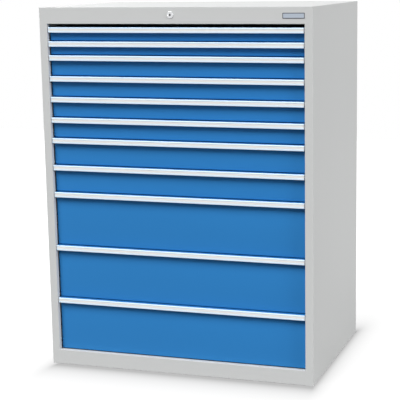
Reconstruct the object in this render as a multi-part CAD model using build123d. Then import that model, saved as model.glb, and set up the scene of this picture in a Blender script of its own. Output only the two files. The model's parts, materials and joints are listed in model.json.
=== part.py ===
from build123d import *
import math
import os

os.makedirs("parts", exist_ok=True)

# Drawer cabinet in millimetres. +Z is up, the front faces -Y, and the origin is on the floor
# in the middle of the footprint.

# Carcass
cabinet_width = 1012.0
cabinet_depth = 700.0
front_heights = [50.0, 50.0, 75.0, 75.0, 75.0, 75.0, 100.0, 100.0, 200.0, 200.0, 200.0]  # top to bottom
sill_height = 55.0
top_rail_height = 58.5
foot_gap = 2.5  # sill to the lowest front
head_gap = 10.0  # top of the highest drawer to the rail
stile_width = 29.5
frame_return = 18.0  # how far the stiles, rail and sill fold back into the opening
frame_lip = 15.0
rear_flange = 25.0
shell_sheet = 1.5
shell_bend = 2.5  # outer radius of the visible bends
skin_edge_share = 0.9  # rounding of the top panel's edges, as a share of its sheet
frame_edge = 1.6  # outer radius of the sharper bends round the opening
back_sheet = 1.0
base_skin_height = 50.0  # top of the base panel above the floor
skin_flange = 20.0  # stiffening flanges of the top and base panels

# Floor channels and their bolt holes
channel_width = 60.0
channel_sheet = 2.5
floor_hole_radius = 5.5
floor_hole_inset = 75.0  # from the front and back faces

# Guide posts
post_depth = 25.0
post_width = 40.0
post_sheet = 2.0
front_post_set_back = 32.0  # front face of the cabinet to the front post
rear_post_set_back = 60.0  # back face of the cabinet to the rear post
hook_length = 12.0
hook_thickness = 3.0
hook_reach = 7.0
hook_play = 0.3

# Drawer fronts and grip strips
front_recess = 20.0  # cabinet face to front sheet
front_sheet = 1.2
front_flange = 12.0
front_bend = 2.0
front_gap = 2.5  # between neighbouring fronts
side_gap = 2.0  # front to stile
grip_set_back = 1.5  # grip strip behind the cabinet face
grip_height = 19.5
grip_top_gap = 1.5
grip_web = 3.0
grip_nose = 7.0
grip_step = 1.8
grip_flange = 2.0
grip_foot_flange = 15.0
grip_round = 2.0
label_height = 9.0
label_depth = 1.2
label_drop = 5.2  # top of the strip to the label groove

# Trays
tray_rear_space = 59.5  # tray to back panel, with room for the catches and the locking bar
tray_wall = 1.2
tray_hem = 3.0
tray_hem_height = 6.0
tray_foot_gap = 4.0
tray_top_gap = 8.0

# Slides
slide_sheet = 1.5
roller_diameter = 18.0
roller_width = 9.5
roller_sides = 12  # a roller has few faces, because there are four to a drawer
roller_play = 0.3
slide_side_play = 0.75
carriage_thickness = 3.0
carriage_height = 14.0
carriage_gap = 3.0  # tray front to carriage
carriage_rear_gap = 43.0  # carriage to tray rear
flange_gap = 1.0  # channel flange to carriage bar
rail_rise = 6.0  # tray floor to drawer rail
roller_inset = 15.0
glide_length = 26.0
travel_short = 6.0  # how much of the tray stays inside at full extension
rail_front_gap = 3.0  # drawer front to the cabinet's slide rails

# Lock, locking bar and catches
lock_x = -4.0
lock_drop = 27.0  # cabinet top to lock axis
lock_flange_radius = 12.0
lock_flange_proud = 2.5
lock_flange_round = 1.0
lock_body_radius = 9.5
lock_body_length = 26.0
lock_hole_play = 0.15
plug_radius = 7.4
plug_play = 0.1
plug_sunk = 0.6
keyway_height = 8.0
keyway_width = 2.2
keyway_depth = 12.0
nut_across_flats = 26.0
nut_thickness = 5.0
nut_play = 0.1
shaft_radius = 5.0
crank_disc_radius = 14.0
crank_disc_thickness = 4.0
crank_disc_gap = 1.5  # disc to locking bar
crank_radius = 10.0
crank_turn = 90.0
crank_pin_radius = 2.5
pin_wander_share = 0.03  # how far the pin leaves a steady rise, as a share of the crank radius
crank_pin_play = 0.4
bar_width = 20.0
bar_thickness = 5.0
bar_side_gap = 6.0  # catch plate to bar
finger_height = 12.0
finger_play = 0.6  # raised finger to catch lug
finger_rest_gap = 1.5  # lowered finger to catch lug
yoke_height = 18.0
catch_reach = 24.0
catch_half_width = 12.0
catch_sheet = 2.0
catch_drop = 6.0  # tray top to catch plate
catch_lug = 8.0
catch_lug_height = 14.5
catch_lug_inset = 1.0
guide_height = 12.0
guide_wall = 4.0
guide_play = 0.5
lowest_guide_drop = 30.0
bar_tail = 20.0
hanger_width = 30.0
hanger_sheet = 2.0
hanger_set_back = 12.0  # crank disc to hanger
hanger_play = 0.6

# Places worked out from the sizes above
half_width = cabinet_width / 2
front_y = -cabinet_depth / 2
back_y = cabinet_depth / 2
stack_height = sum(front_heights)
stack_foot = sill_height + foot_gap
stack_top = stack_foot + stack_height
cabinet_height = stack_top + head_gap + top_rail_height
rail_foot = cabinet_height - top_rail_height
skin_under = cabinet_height - shell_sheet
inner_half = half_width - shell_sheet
opening_half = half_width - stile_width
return_y = front_y + frame_return
back_inner_y = back_y - shell_sheet - back_sheet
post_face = inner_half - post_depth
front_post_y = front_y + front_post_set_back
rear_post_y = back_y - rear_post_set_back - post_width
cabinet_rail_end = rear_post_y + post_width

slide_space = 2 * (slide_sheet + slide_side_play + roller_width) + carriage_thickness
tray_half = post_face - slide_space
channel_height = roller_diameter + 2 * roller_play + 2 * slide_sheet
carriage_inner = tray_half + slide_sheet + slide_side_play + roller_width
carriage_outer = carriage_inner + carriage_thickness

front_face_y = front_y + front_recess
tray_front_y = front_face_y + front_flange
tray_rear_y = back_inner_y - tray_rear_space
tray_depth = tray_rear_y - tray_front_y
drawer_travel = tray_depth - travel_short
front_half = opening_half - side_gap
carriage_y = tray_front_y + carriage_gap
carriage_end = tray_rear_y - carriage_rear_gap
cabinet_rail_y = tray_front_y + rail_front_gap
carriage_travel = drawer_travel / 2

lock_z = cabinet_height - lock_drop
catch_rear_y = tray_rear_y + catch_reach
lug_front_y = catch_rear_y - catch_lug_inset - catch_lug
bar_rear_y = lug_front_y - finger_play
bar_front_y = bar_rear_y - bar_thickness
bar_right = lock_x - catch_half_width - bar_side_gap
bar_left = bar_right - bar_width
half_turn = math.radians(crank_turn / 2)
pin_drop = crank_radius * math.sin(half_turn)
bar_lift = 2 * pin_drop
yoke_gap = crank_pin_radius + pin_wander_share * crank_radius + crank_pin_play
crank_rear_y = bar_front_y - crank_disc_gap
crank_front_y = crank_rear_y - crank_disc_thickness
finger_top_drop = tray_top_gap + catch_drop + catch_sheet + catch_lug_height + finger_rest_gap
finger_foot_drop = finger_top_drop + finger_height


def block(x, y, z):
    """A box between two corners, each given as a pair of values along one axis."""
    size = (x[1] - x[0], y[1] - y[0], z[1] - z[0])
    middle = ((x[0] + x[1]) / 2, (y[0] + y[1]) / 2, (z[0] + z[1]) / 2)
    return Pos(*middle) * Box(*size)


def folded(plane, points, radii, sheet, length, side=Side.LEFT):
    """Sheet metal: an outer line with bends, thickened to one side and drawn out along the plane's normal."""
    with BuildPart() as piece:
        with BuildSketch(plane):
            with BuildLine():
                FilletPolyline(*points, radius=radii)
                offset(amount=sheet, side=side)
            make_face()
        extrude(amount=length)
    return piece.part


def drawn(plane, points, length):
    """A closed outline with sharp corners, drawn out along the plane's normal."""
    with BuildPart() as piece:
        with BuildSketch(plane):
            with BuildLine():
                Polyline(*points, close=True)
            make_face()
        extrude(amount=length)
    return piece.part


def rod(radius, x, y, z, axis=(0, 1, 0), length=1.0):
    """A round bar from a point along an axis."""
    return extrude(Plane(origin=(x, y, z), z_dir=axis) * Circle(radius), amount=length)


def other_side(piece):
    """The same piece on the cabinet's left."""
    return mirror(piece, about=Plane.YZ)


def save(name, *pieces):
    """Writes one sub-part, as one solid or as a group of separate solids."""
    solids = [solid for piece in pieces for solid in piece.solids()]
    export_step(solids[0] if len(solids) == 1 else Compound(children=solids), f"parts/{name}.step")


# Heights of the drawers, from the top down
drawers = []
drawer_top = stack_top
for front_height in front_heights:
    drawers.append((drawer_top - front_height, drawer_top))
    drawer_top -= front_height


# Side panel: one sheet folded round the stile in front and a flange behind
side_line = [
    (opening_half + frame_lip, return_y),
    (opening_half, return_y),
    (opening_half, front_y),
    (half_width, front_y),
    (half_width, back_y),
    (half_width - rear_flange, back_y),
]
side_bends = [frame_edge, frame_edge, shell_bend, shell_bend]
right_side = folded(Plane.XY, side_line, side_bends, shell_sheet, skin_under)
save("right_side_panel", right_side)
save("left_side_panel", other_side(right_side))

# Top panel: a skin with flanges that drop inside the side panels and the back
top_skin = block((-half_width, half_width), (front_y, back_y), (skin_under, cabinet_height))
top_skin = fillet(top_skin.edges().group_by(Axis.Z)[-1], shell_sheet * skin_edge_share)
flange_z = (skin_under - skin_flange, skin_under)
flange_y = (return_y, back_inner_y)
right_flange = block((inner_half - shell_sheet, inner_half), flange_y, flange_z)
rear_drop = block((-inner_half, inner_half), (back_inner_y - shell_sheet, back_inner_y), flange_z)
save("top_panel", top_skin + right_flange + other_side(right_flange) + rear_drop)

# Front top rail and sill: folded channels between the stiles
frame_plane = Plane(origin=(-opening_half, 0, 0), x_dir=(0, 1, 0), z_dir=(1, 0, 0))
rail_line = [
    (return_y, rail_foot + frame_lip),
    (return_y, rail_foot),
    (front_y, rail_foot),
    (front_y, skin_under),
    (return_y, skin_under),
]
top_rail = folded(
    frame_plane, rail_line, [frame_edge, frame_edge, frame_edge], shell_sheet, 2 * opening_half, Side.RIGHT
)
lock_hole = rod(lock_body_radius + lock_hole_play, lock_x, front_y, lock_z, length=shell_sheet)
save("front_top_rail", top_rail - lock_hole)

sill_line = [
    (return_y, sill_height - frame_lip),
    (return_y, sill_height),
    (front_y, sill_height),
    (front_y, 0),
    (return_y + frame_lip, 0),
]
sill = folded(frame_plane, sill_line, [frame_edge, frame_edge, frame_edge], shell_sheet, 2 * opening_half)
save("front_sill", sill)

# Back panel between the side panels, in front of their rear flanges and clear of their inner bends
back_y_span = (back_inner_y, back_inner_y + back_sheet)
back_half = half_width - max(shell_bend, shell_sheet)
save("back_panel", block((-back_half, back_half), back_y_span, (0, skin_under)))

# Base panel: the cabinet's floor with flanges down its sides and back
base_skin_z = (base_skin_height - shell_sheet, base_skin_height)
base_flange_z = (base_skin_height - skin_flange, base_skin_height)
base_skin = block((-inner_half, inner_half), flange_y, base_skin_z)
base_flange = block((inner_half - shell_sheet, inner_half), flange_y, base_flange_z)
base_rear = block((-inner_half, inner_half), (back_inner_y - shell_sheet, back_inner_y), base_flange_z)
save("base_panel", base_skin + base_flange + other_side(base_flange) + base_rear)

# Floor channels under the base panel, each with two bolt holes
channel_right = inner_half - shell_sheet
channel_left = channel_right - channel_width
channel_top = base_skin_height - shell_sheet
channel_line = [
    (channel_left, channel_top),
    (channel_left, 0),
    (channel_right, 0),
    (channel_right, channel_top),
    (channel_right - channel_sheet, channel_top),
    (channel_right - channel_sheet, channel_sheet),
    (channel_left + channel_sheet, channel_sheet),
    (channel_left + channel_sheet, channel_top),
]
channel_rear_y = back_inner_y - shell_sheet
channel_plane = Plane(origin=(0, channel_rear_y, 0), x_dir=(1, 0, 0), z_dir=(0, -1, 0))
floor_channel = drawn(channel_plane, channel_line, channel_rear_y - return_y - frame_lip)
for hole_y in (front_y + floor_hole_inset, back_y - floor_hole_inset):
    hole_x = (channel_left + channel_right) / 2
    floor_channel -= rod(floor_hole_radius, hole_x, hole_y, 0, axis=(0, 0, 1), length=channel_sheet)
save("floor_channels", floor_channel, other_side(floor_channel))

# Guide posts with a slot for every rail hook
post_foot = base_skin_height
post_top = stack_top


def rail_foot_of(drawer_foot):
    """Height of a drawer's slide channels above the floor."""
    return drawer_foot + tray_foot_gap + rail_rise


def hook_span(drawer_foot):
    """Foot and top of the rail hook that belongs to a drawer."""
    middle = rail_foot_of(drawer_foot) + channel_height / 2
    return (middle - hook_length / 2, middle + hook_length / 2)


def post(start_y):
    """One upright channel, its web towards the drawers."""
    outline = [
        (inner_half, start_y),
        (post_face, start_y),
        (post_face, start_y + post_width),
        (inner_half, start_y + post_width),
        (inner_half, start_y + post_width - post_sheet),
        (post_face + post_sheet, start_y + post_width - post_sheet),
        (post_face + post_sheet, start_y + post_sheet),
        (inner_half, start_y + post_sheet),
    ]
    upright = drawn(Plane((0, 0, post_foot)), outline, post_top - post_foot)
    middle_y = start_y + post_width / 2
    slot_y = (middle_y - hook_thickness / 2 - hook_play, middle_y + hook_thickness / 2 + hook_play)
    for drawer_foot, _ in drawers:
        low, high = hook_span(drawer_foot)
        upright -= block((post_face, post_face + post_sheet), slot_y, (low - hook_play, high + hook_play))
    return upright


right_posts = [post(front_post_y), post(rear_post_y)]
save("guide_posts", *right_posts, *[other_side(p) for p in right_posts])

# Cabinet slide rails: channels open towards the drawer, hooked into the posts
rail_plane = Plane(origin=(0, cabinet_rail_end, 0), x_dir=(1, 0, 0), z_dir=(0, -1, 0))


def channel_outline(web_x, tip_x, foot, sheet):
    """Outline of a slide channel whose web stands at web_x and whose flanges reach to tip_x."""
    inward = math.copysign(sheet, tip_x - web_x)
    top = foot + channel_height
    return [
        (tip_x, foot),
        (web_x, foot),
        (web_x, top),
        (tip_x, top),
        (tip_x, top - sheet),
        (web_x + inward, top - sheet),
        (web_x + inward, foot + sheet),
        (tip_x, foot + sheet),
    ]


cabinet_rails = []
for drawer_foot, _ in drawers:
    outline = channel_outline(post_face, carriage_outer + flange_gap, rail_foot_of(drawer_foot), slide_sheet)
    rail = drawn(rail_plane, outline, cabinet_rail_end - cabinet_rail_y)
    for start_y in (front_post_y, rear_post_y):
        middle_y = start_y + post_width / 2
        hook_y = (middle_y - hook_thickness / 2, middle_y + hook_thickness / 2)
        rail += block((post_face - slide_sheet, post_face + hook_reach), hook_y, hook_span(drawer_foot))
    cabinet_rails.append(rail)
save("cabinet_rails", *cabinet_rails, *[other_side(rail) for rail in cabinet_rails])


def roller(x, y, z):
    """A roller of a carriage, from a point outwards."""
    outline = Plane(origin=(x, y, z), z_dir=(1, 0, 0)) * RegularPolygon(roller_diameter / 2, roller_sides)
    return extrude(outline, amount=roller_width)


def runner(foot):
    """Right-hand carriage of a drawer: a bar with load rollers in front and glides behind, on both faces."""
    middle_z = foot + channel_height / 2
    bar_z = (middle_z - carriage_height / 2, middle_z + carriage_height / 2)
    glide_z = (middle_z - roller_diameter / 2, middle_z + roller_diameter / 2)
    bar = block((carriage_inner, carriage_outer), (carriage_y, carriage_end), bar_z)
    inner_x = (carriage_inner - roller_width, carriage_inner)
    outer_x = (carriage_outer, carriage_outer + roller_width)
    inner_roller_y = carriage_y + roller_inset
    inner_glide_y = carriage_end - carriage_travel - roller_inset
    outer_roller_y = carriage_y + carriage_travel + 2 * roller_inset
    return [
        bar,
        roller(inner_x[0], inner_roller_y, middle_z),
        roller(outer_x[0], outer_roller_y, middle_z),
        block(inner_x, (inner_glide_y - glide_length, inner_glide_y), glide_z),
        block(outer_x, (carriage_end - glide_length, carriage_end), glide_z),
    ]


def tray(foot, top):
    """Open sheet-metal drawer body with a hem round its rim."""
    y = (tray_front_y, tray_rear_y)
    body = block((-tray_half, tray_half), y, (foot, top))
    inner_y = (y[0] + tray_wall, y[1] - tray_wall)
    inner_half_width = tray_half - tray_wall
    body -= block((-inner_half_width, inner_half_width), inner_y, (foot + tray_wall, top - tray_hem_height))
    rim_y = (y[0] + tray_hem, y[1] - tray_hem)
    rim_half = tray_half - tray_hem
    body -= block((-rim_half, rim_half), rim_y, (top - tray_hem_height, top))
    return body


def drawer_rail(foot):
    """Right-hand drawer member of the slide, a channel open towards the cabinet."""
    outline = channel_outline(tray_half, carriage_inner - flange_gap, foot, slide_sheet)
    plane = Plane(origin=(0, tray_rear_y, 0), x_dir=(1, 0, 0), z_dir=(0, -1, 0))
    return drawn(plane, outline, tray_depth)


def catch(tray_top):
    """Plate behind the tray with a lug that the locking bar's finger holds."""
    plate_top = tray_top - catch_drop
    plate_foot = plate_top - catch_sheet
    x = (lock_x - catch_half_width, lock_x + catch_half_width)
    plate = block(x, (tray_rear_y, catch_rear_y), (plate_foot, plate_top))
    lug_x = (lock_x - catch_lug / 2, lock_x + catch_lug / 2)
    lug = block(lug_x, (lug_front_y, lug_front_y + catch_lug), (plate_foot - catch_lug_height, plate_foot))
    return [plate, lug]


strip_plane = Plane(origin=(-front_half, 0, 0), x_dir=(0, 1, 0), z_dir=(1, 0, 0))


def drawer_front(foot, top):
    """Folded pan: a face with flanges back along all four edges, the long ones bent round."""
    pan = block((-front_half, front_half), (front_face_y, tray_front_y), (foot, top))
    pan = fillet(pan.edges().filter_by(Axis.X).group_by(Axis.Y)[0], front_bend)
    inside_half = front_half - front_sheet
    inside_z = (foot + front_sheet, top - front_sheet)
    return pan - block((-inside_half, inside_half), (front_face_y + front_sheet, tray_front_y), inside_z)


def grip_strip(top):
    """Extruded grip: a nose with the label groove, a stepped top flange and a flange down the front sheet."""
    face = front_y + grip_set_back
    rear = front_face_y
    label_top = top - label_drop
    under = top - grip_step - grip_flange
    outline = [
        (face, top - grip_height),
        (face, label_top - label_height),
        (face + label_depth, label_top - label_height),
        (face + label_depth, label_top),
        (face, label_top),
        (face, top),
        (face + grip_nose, top),
        (face + grip_nose, top - grip_step),
        (rear, top - grip_step),
        (rear, top - grip_foot_flange),
        (rear - grip_flange, top - grip_foot_flange),
        (rear - grip_flange, under),
        (face + grip_web, under),
        (face + grip_web, top - grip_height),
    ]
    strip = drawn(strip_plane, outline, 2 * front_half)
    nose_edges = strip.edges().filter_by(Axis.X).group_by(Axis.Y)[0].sort_by(Axis.Z)
    return fillet([nose_edges[0], nose_edges[-1]], grip_round)


for number, (drawer_foot, drawer_top) in enumerate(drawers, start=1):
    name = f"drawer_{number:02d}"
    tray_top = drawer_top - tray_top_gap
    rail_z = rail_foot_of(drawer_foot)
    right_rail = drawer_rail(rail_z)
    body = tray(drawer_foot + tray_foot_gap, tray_top)
    save(f"{name}_tray", body, right_rail, other_side(right_rail), *catch(tray_top))
    save(f"{name}_front", drawer_front(drawer_foot, drawer_top - front_gap))
    save(f"{name}_grip", grip_strip(drawer_top - grip_top_gap))
    carriage = runner(rail_z)
    save(f"{name}_runners", *carriage, *[other_side(piece) for piece in carriage])


# Lock housing: a flange outside the rail and a threaded body through it
flange_front_y = front_y - lock_flange_proud
housing_length = lock_flange_proud + lock_body_length
with BuildPart() as housing:
    with BuildSketch(Plane(origin=(lock_x, 0, lock_z), x_dir=(1, 0, 0), z_dir=(0, 0, 1))):
        with BuildLine():
            Polyline(
                (plug_radius + plug_play, flange_front_y),
                (lock_flange_radius - lock_flange_round, flange_front_y),
                (lock_flange_radius, flange_front_y + lock_flange_round),
                (lock_flange_radius, front_y),
                (lock_body_radius, front_y),
                (lock_body_radius, front_y + lock_body_length),
                (plug_radius + plug_play, front_y + lock_body_length),
                close=True,
            )
        make_face()
    revolve(axis=Axis((lock_x, 0, lock_z), (0, 1, 0)))
save("lock_housing", housing.part)

# Lock nut behind the rail
nut_y = front_y + shell_sheet
nut_plane = Plane(origin=(lock_x, nut_y, lock_z), x_dir=(1, 0, 0), z_dir=(0, 1, 0))
nut = extrude(nut_plane * RegularPolygon(nut_across_flats / 2, 6, major_radius=False), amount=nut_thickness)
nut -= rod(lock_body_radius + nut_play, lock_x, nut_y, lock_z, length=nut_thickness)
save("lock_nut", nut)

# Plug with its keyway, upright while unlocked
plug_front_y = flange_front_y + plug_sunk
plug_length = housing_length - plug_sunk
plug = rod(plug_radius, lock_x, plug_front_y, lock_z, length=plug_length)
keyway_x = (lock_x - keyway_width / 2, lock_x + keyway_width / 2)
keyway_z = (lock_z - keyway_height / 2, lock_z + keyway_height / 2)
plug -= block(keyway_x, (plug_front_y, plug_front_y + keyway_depth), keyway_z)
save("lock_plug", plug)

# Tail shaft, crank disc and pin at the back of the cabinet
shaft_y = plug_front_y + plug_length
shaft = rod(shaft_radius, lock_x, shaft_y, lock_z, length=crank_front_y - shaft_y)
disc = rod(crank_disc_radius, lock_x, crank_front_y, lock_z, length=crank_disc_thickness)
pin_x = lock_x - crank_radius * math.cos(half_turn)
pin_length = crank_disc_gap + bar_thickness
pin = rod(crank_pin_radius, pin_x, crank_rear_y, lock_z - pin_drop, length=pin_length)
save("lock_shaft", shaft + disc + pin)

# Locking bar: a flat bar with a yoke on top and a finger for every drawer
bar_y = (bar_front_y, bar_rear_y)
pin_rest_z = lock_z - pin_drop
yoke_z = (pin_rest_z - yoke_height / 2, pin_rest_z + yoke_height / 2)
lowest_finger = drawers[-1][1] - finger_foot_drop
lowest_guide_z = lowest_finger - lowest_guide_drop
bar = block((bar_left, bar_right), bar_y, (lowest_guide_z - bar_tail, yoke_z[0]))
yoke = block((bar_left, lock_x), bar_y, yoke_z)
slot_x = (lock_x - crank_radius - yoke_gap, pin_x + yoke_gap)
yoke -= block(slot_x, bar_y, (pin_rest_z - yoke_gap, pin_rest_z + yoke_gap))
fingers = []
for _, drawer_top in drawers:
    finger_z = (drawer_top - finger_foot_drop, drawer_top - finger_top_drop)
    fingers.append(block((bar_right, lock_x + catch_lug / 2), bar_y, finger_z))
save("lock_bar", bar, yoke, *fingers)


def bar_guide(middle_z):
    """Closed guide round the locking bar, fixed to the back panel."""
    z = (middle_z - guide_height / 2, middle_z + guide_height / 2)
    hole_x = (bar_left - guide_play, bar_right + guide_play)
    hole_y = (bar_front_y - guide_play, bar_rear_y + guide_play)
    outside_x = (hole_x[0] - guide_wall, hole_x[1] + guide_wall)
    guide = block(outside_x, (hole_y[0] - guide_wall, back_inner_y), z)
    return guide - block(hole_x, hole_y, z)


# Bar guides above the first finger, over the tallest drawers and below the last finger
tallest = front_heights.index(max(front_heights))
guides = [bar_guide(z) for z in (drawers[0][1], drawers[tallest][1], lowest_guide_z)]

# Hanger that carries the tail shaft's rear end under the top panel
hanger_y = crank_front_y - hanger_set_back
hanger_x = (lock_x - hanger_width / 2, lock_x + hanger_width / 2)
hanger_web_z = (lock_z - hanger_width / 2, skin_under)
hanger = block(hanger_x, (hanger_y - hanger_sheet, hanger_y), hanger_web_z)
hanger += block(hanger_x, (hanger_y - hanger_width, hanger_y), (skin_under - hanger_sheet, skin_under))
hanger -= rod(shaft_radius + hanger_play, lock_x, hanger_y - hanger_sheet, lock_z, length=hanger_sheet)
save("lock_brackets", *guides, hanger)

print("cabinet height", cabinet_height, "tray half width", tray_half, "bar lift", round(bar_lift, 4))
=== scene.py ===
"""Sheet-steel drawer cabinet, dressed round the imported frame.

Everything is in metres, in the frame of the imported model: the floor is z = 0, the front faces -y and the
cabinet stands in the middle of its footprint. A new piece is a surface worked out with numpy: a grid of
points over two parameters, or a profile carried along a path. Every finish is a node material that reads
Object coordinates.
"""

from __future__ import annotations

import json
import logging
import math
from dataclasses import dataclass, field
from enum import Enum
from typing import Callable, Sequence

import bmesh
import bpy
import numpy as np
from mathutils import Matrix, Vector

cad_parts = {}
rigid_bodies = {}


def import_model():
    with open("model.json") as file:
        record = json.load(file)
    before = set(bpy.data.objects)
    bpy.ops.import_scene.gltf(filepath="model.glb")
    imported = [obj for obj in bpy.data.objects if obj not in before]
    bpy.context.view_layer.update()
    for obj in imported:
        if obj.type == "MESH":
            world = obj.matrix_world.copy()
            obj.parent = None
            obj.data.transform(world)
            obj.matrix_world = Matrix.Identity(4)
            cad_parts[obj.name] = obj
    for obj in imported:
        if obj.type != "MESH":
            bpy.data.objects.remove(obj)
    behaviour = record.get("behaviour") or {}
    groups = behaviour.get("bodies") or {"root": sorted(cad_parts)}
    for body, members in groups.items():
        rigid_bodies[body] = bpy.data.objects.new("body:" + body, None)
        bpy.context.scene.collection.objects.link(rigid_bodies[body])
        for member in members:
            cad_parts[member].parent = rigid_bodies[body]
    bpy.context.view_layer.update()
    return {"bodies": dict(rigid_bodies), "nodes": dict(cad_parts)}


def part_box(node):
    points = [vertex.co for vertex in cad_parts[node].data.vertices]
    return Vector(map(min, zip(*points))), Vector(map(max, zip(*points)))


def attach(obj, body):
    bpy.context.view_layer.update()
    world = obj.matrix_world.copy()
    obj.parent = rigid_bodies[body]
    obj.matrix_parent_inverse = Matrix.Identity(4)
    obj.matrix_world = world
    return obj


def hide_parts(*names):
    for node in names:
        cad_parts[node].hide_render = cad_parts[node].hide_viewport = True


log = logging.getLogger("drawer_cabinet")

Pair = tuple[float, float]
Triple = tuple[float, float, float]
Corner = tuple[Pair, float]
Box = tuple[np.ndarray, np.ndarray]
Nodes = dict[str, bpy.types.Object]
Node = bpy.types.Node
Socket = bpy.types.NodeSocket
MM = 0.001
CABINET = "cabinet"


class Slot(Enum):
    """Material slots of the part's record."""

    CARCASS = "carcass_grey"
    FRONT = "front_blue"
    GRIP = "grip_aluminium"
    TRAY = "tray_steel"
    ZINC = "zinc_steel"
    CHROME = "lock_chrome"
    STEEL = "lock_steel"


class Side(Enum):
    """The two sides of the cabinet, as the sign of x."""

    LEFT = -1
    RIGHT = 1


class Run(Enum):
    """Which way a straight piece runs: that direction, then those of its section's u and v."""

    X = ((1, 0, 0), (0, 1, 0), (0, 0, 1))
    Y = ((0, 1, 0), (1, 0, 0), (0, 0, 1))
    Z = ((0, 0, 1), (1, 0, 0), (0, 1, 0))


# Profiles: closed outlines in a plane, as arrays of points


def arc(centre: Pair, radius: float, start: float, end: float, steps: int) -> np.ndarray:
    """Points of a round stretch: centre + radius * (cos a, sin a), a in degrees in even steps from start to end."""
    angles = np.radians(np.linspace(start, end, steps + 1))
    return np.array(centre) + radius * np.column_stack((np.cos(angles), np.sin(angles)))


def rounded_box(u: Sequence[float], v: Sequence[float], radius: float, steps: int = 4) -> np.ndarray:
    """Outline of a rectangle whose corners are quarter circles, anticlockwise.

    Args:
        u: First and last place across.
        v: First and last place upwards.
        radius: Radius of the corners.
        steps: Parts in each corner.

    Returns:
        An array of points.
    """
    (u0, u1), (v0, v1), r = u, v, radius
    corners = ((u0 + r, v0 + r, 180), (u1 - r, v0 + r, 270), (u1 - r, v1 - r, 0), (u0 + r, v1 - r, 90))
    return np.vstack([arc((x, y), r, start, start + 90, steps) for x, y, start in corners])


def round_corners(corners: Sequence[Corner], steps: int = 4) -> np.ndarray:
    """Closed outline whose corners are rounded.

    A corner with radius r is left at r / tan(half the angle between its edges) from its point, and the arc's
    centre lies on the angle's bisector at r / sin(half the angle).

    Args:
        corners: Point and radius of each corner in order, with 0 for a sharp one.
        steps: Parts in each rounded corner.

    Returns:
        An array of points.
    """
    places = np.array([place for place, _ in corners], float)
    outline = []
    for before, corner, after, (_, radius) in zip(np.roll(places, 1, 0), places, np.roll(places, -1, 0), corners):
        if radius == 0:
            outline.append(corner[None])
            continue
        back = (before - corner) / np.linalg.norm(before - corner)
        ahead = (after - corner) / np.linalg.norm(after - corner)
        half = math.acos(float(np.clip(back @ ahead, -1, 1))) / 2
        bisector = (back + ahead) / np.linalg.norm(back + ahead)
        centre = corner + bisector * radius / math.sin(half)
        first, last = (corner + way * radius / math.tan(half) - centre for way in (back, ahead))
        start = math.atan2(first[1], first[0])
        sweep = math.atan2(first[0] * last[1] - first[1] * last[0], float(first @ last))
        turn = start + sweep * np.linspace(0, 1, steps + 1)
        outline.append(centre + radius * np.column_stack((np.cos(turn), np.sin(turn))))
    return np.vstack(outline)


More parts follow.
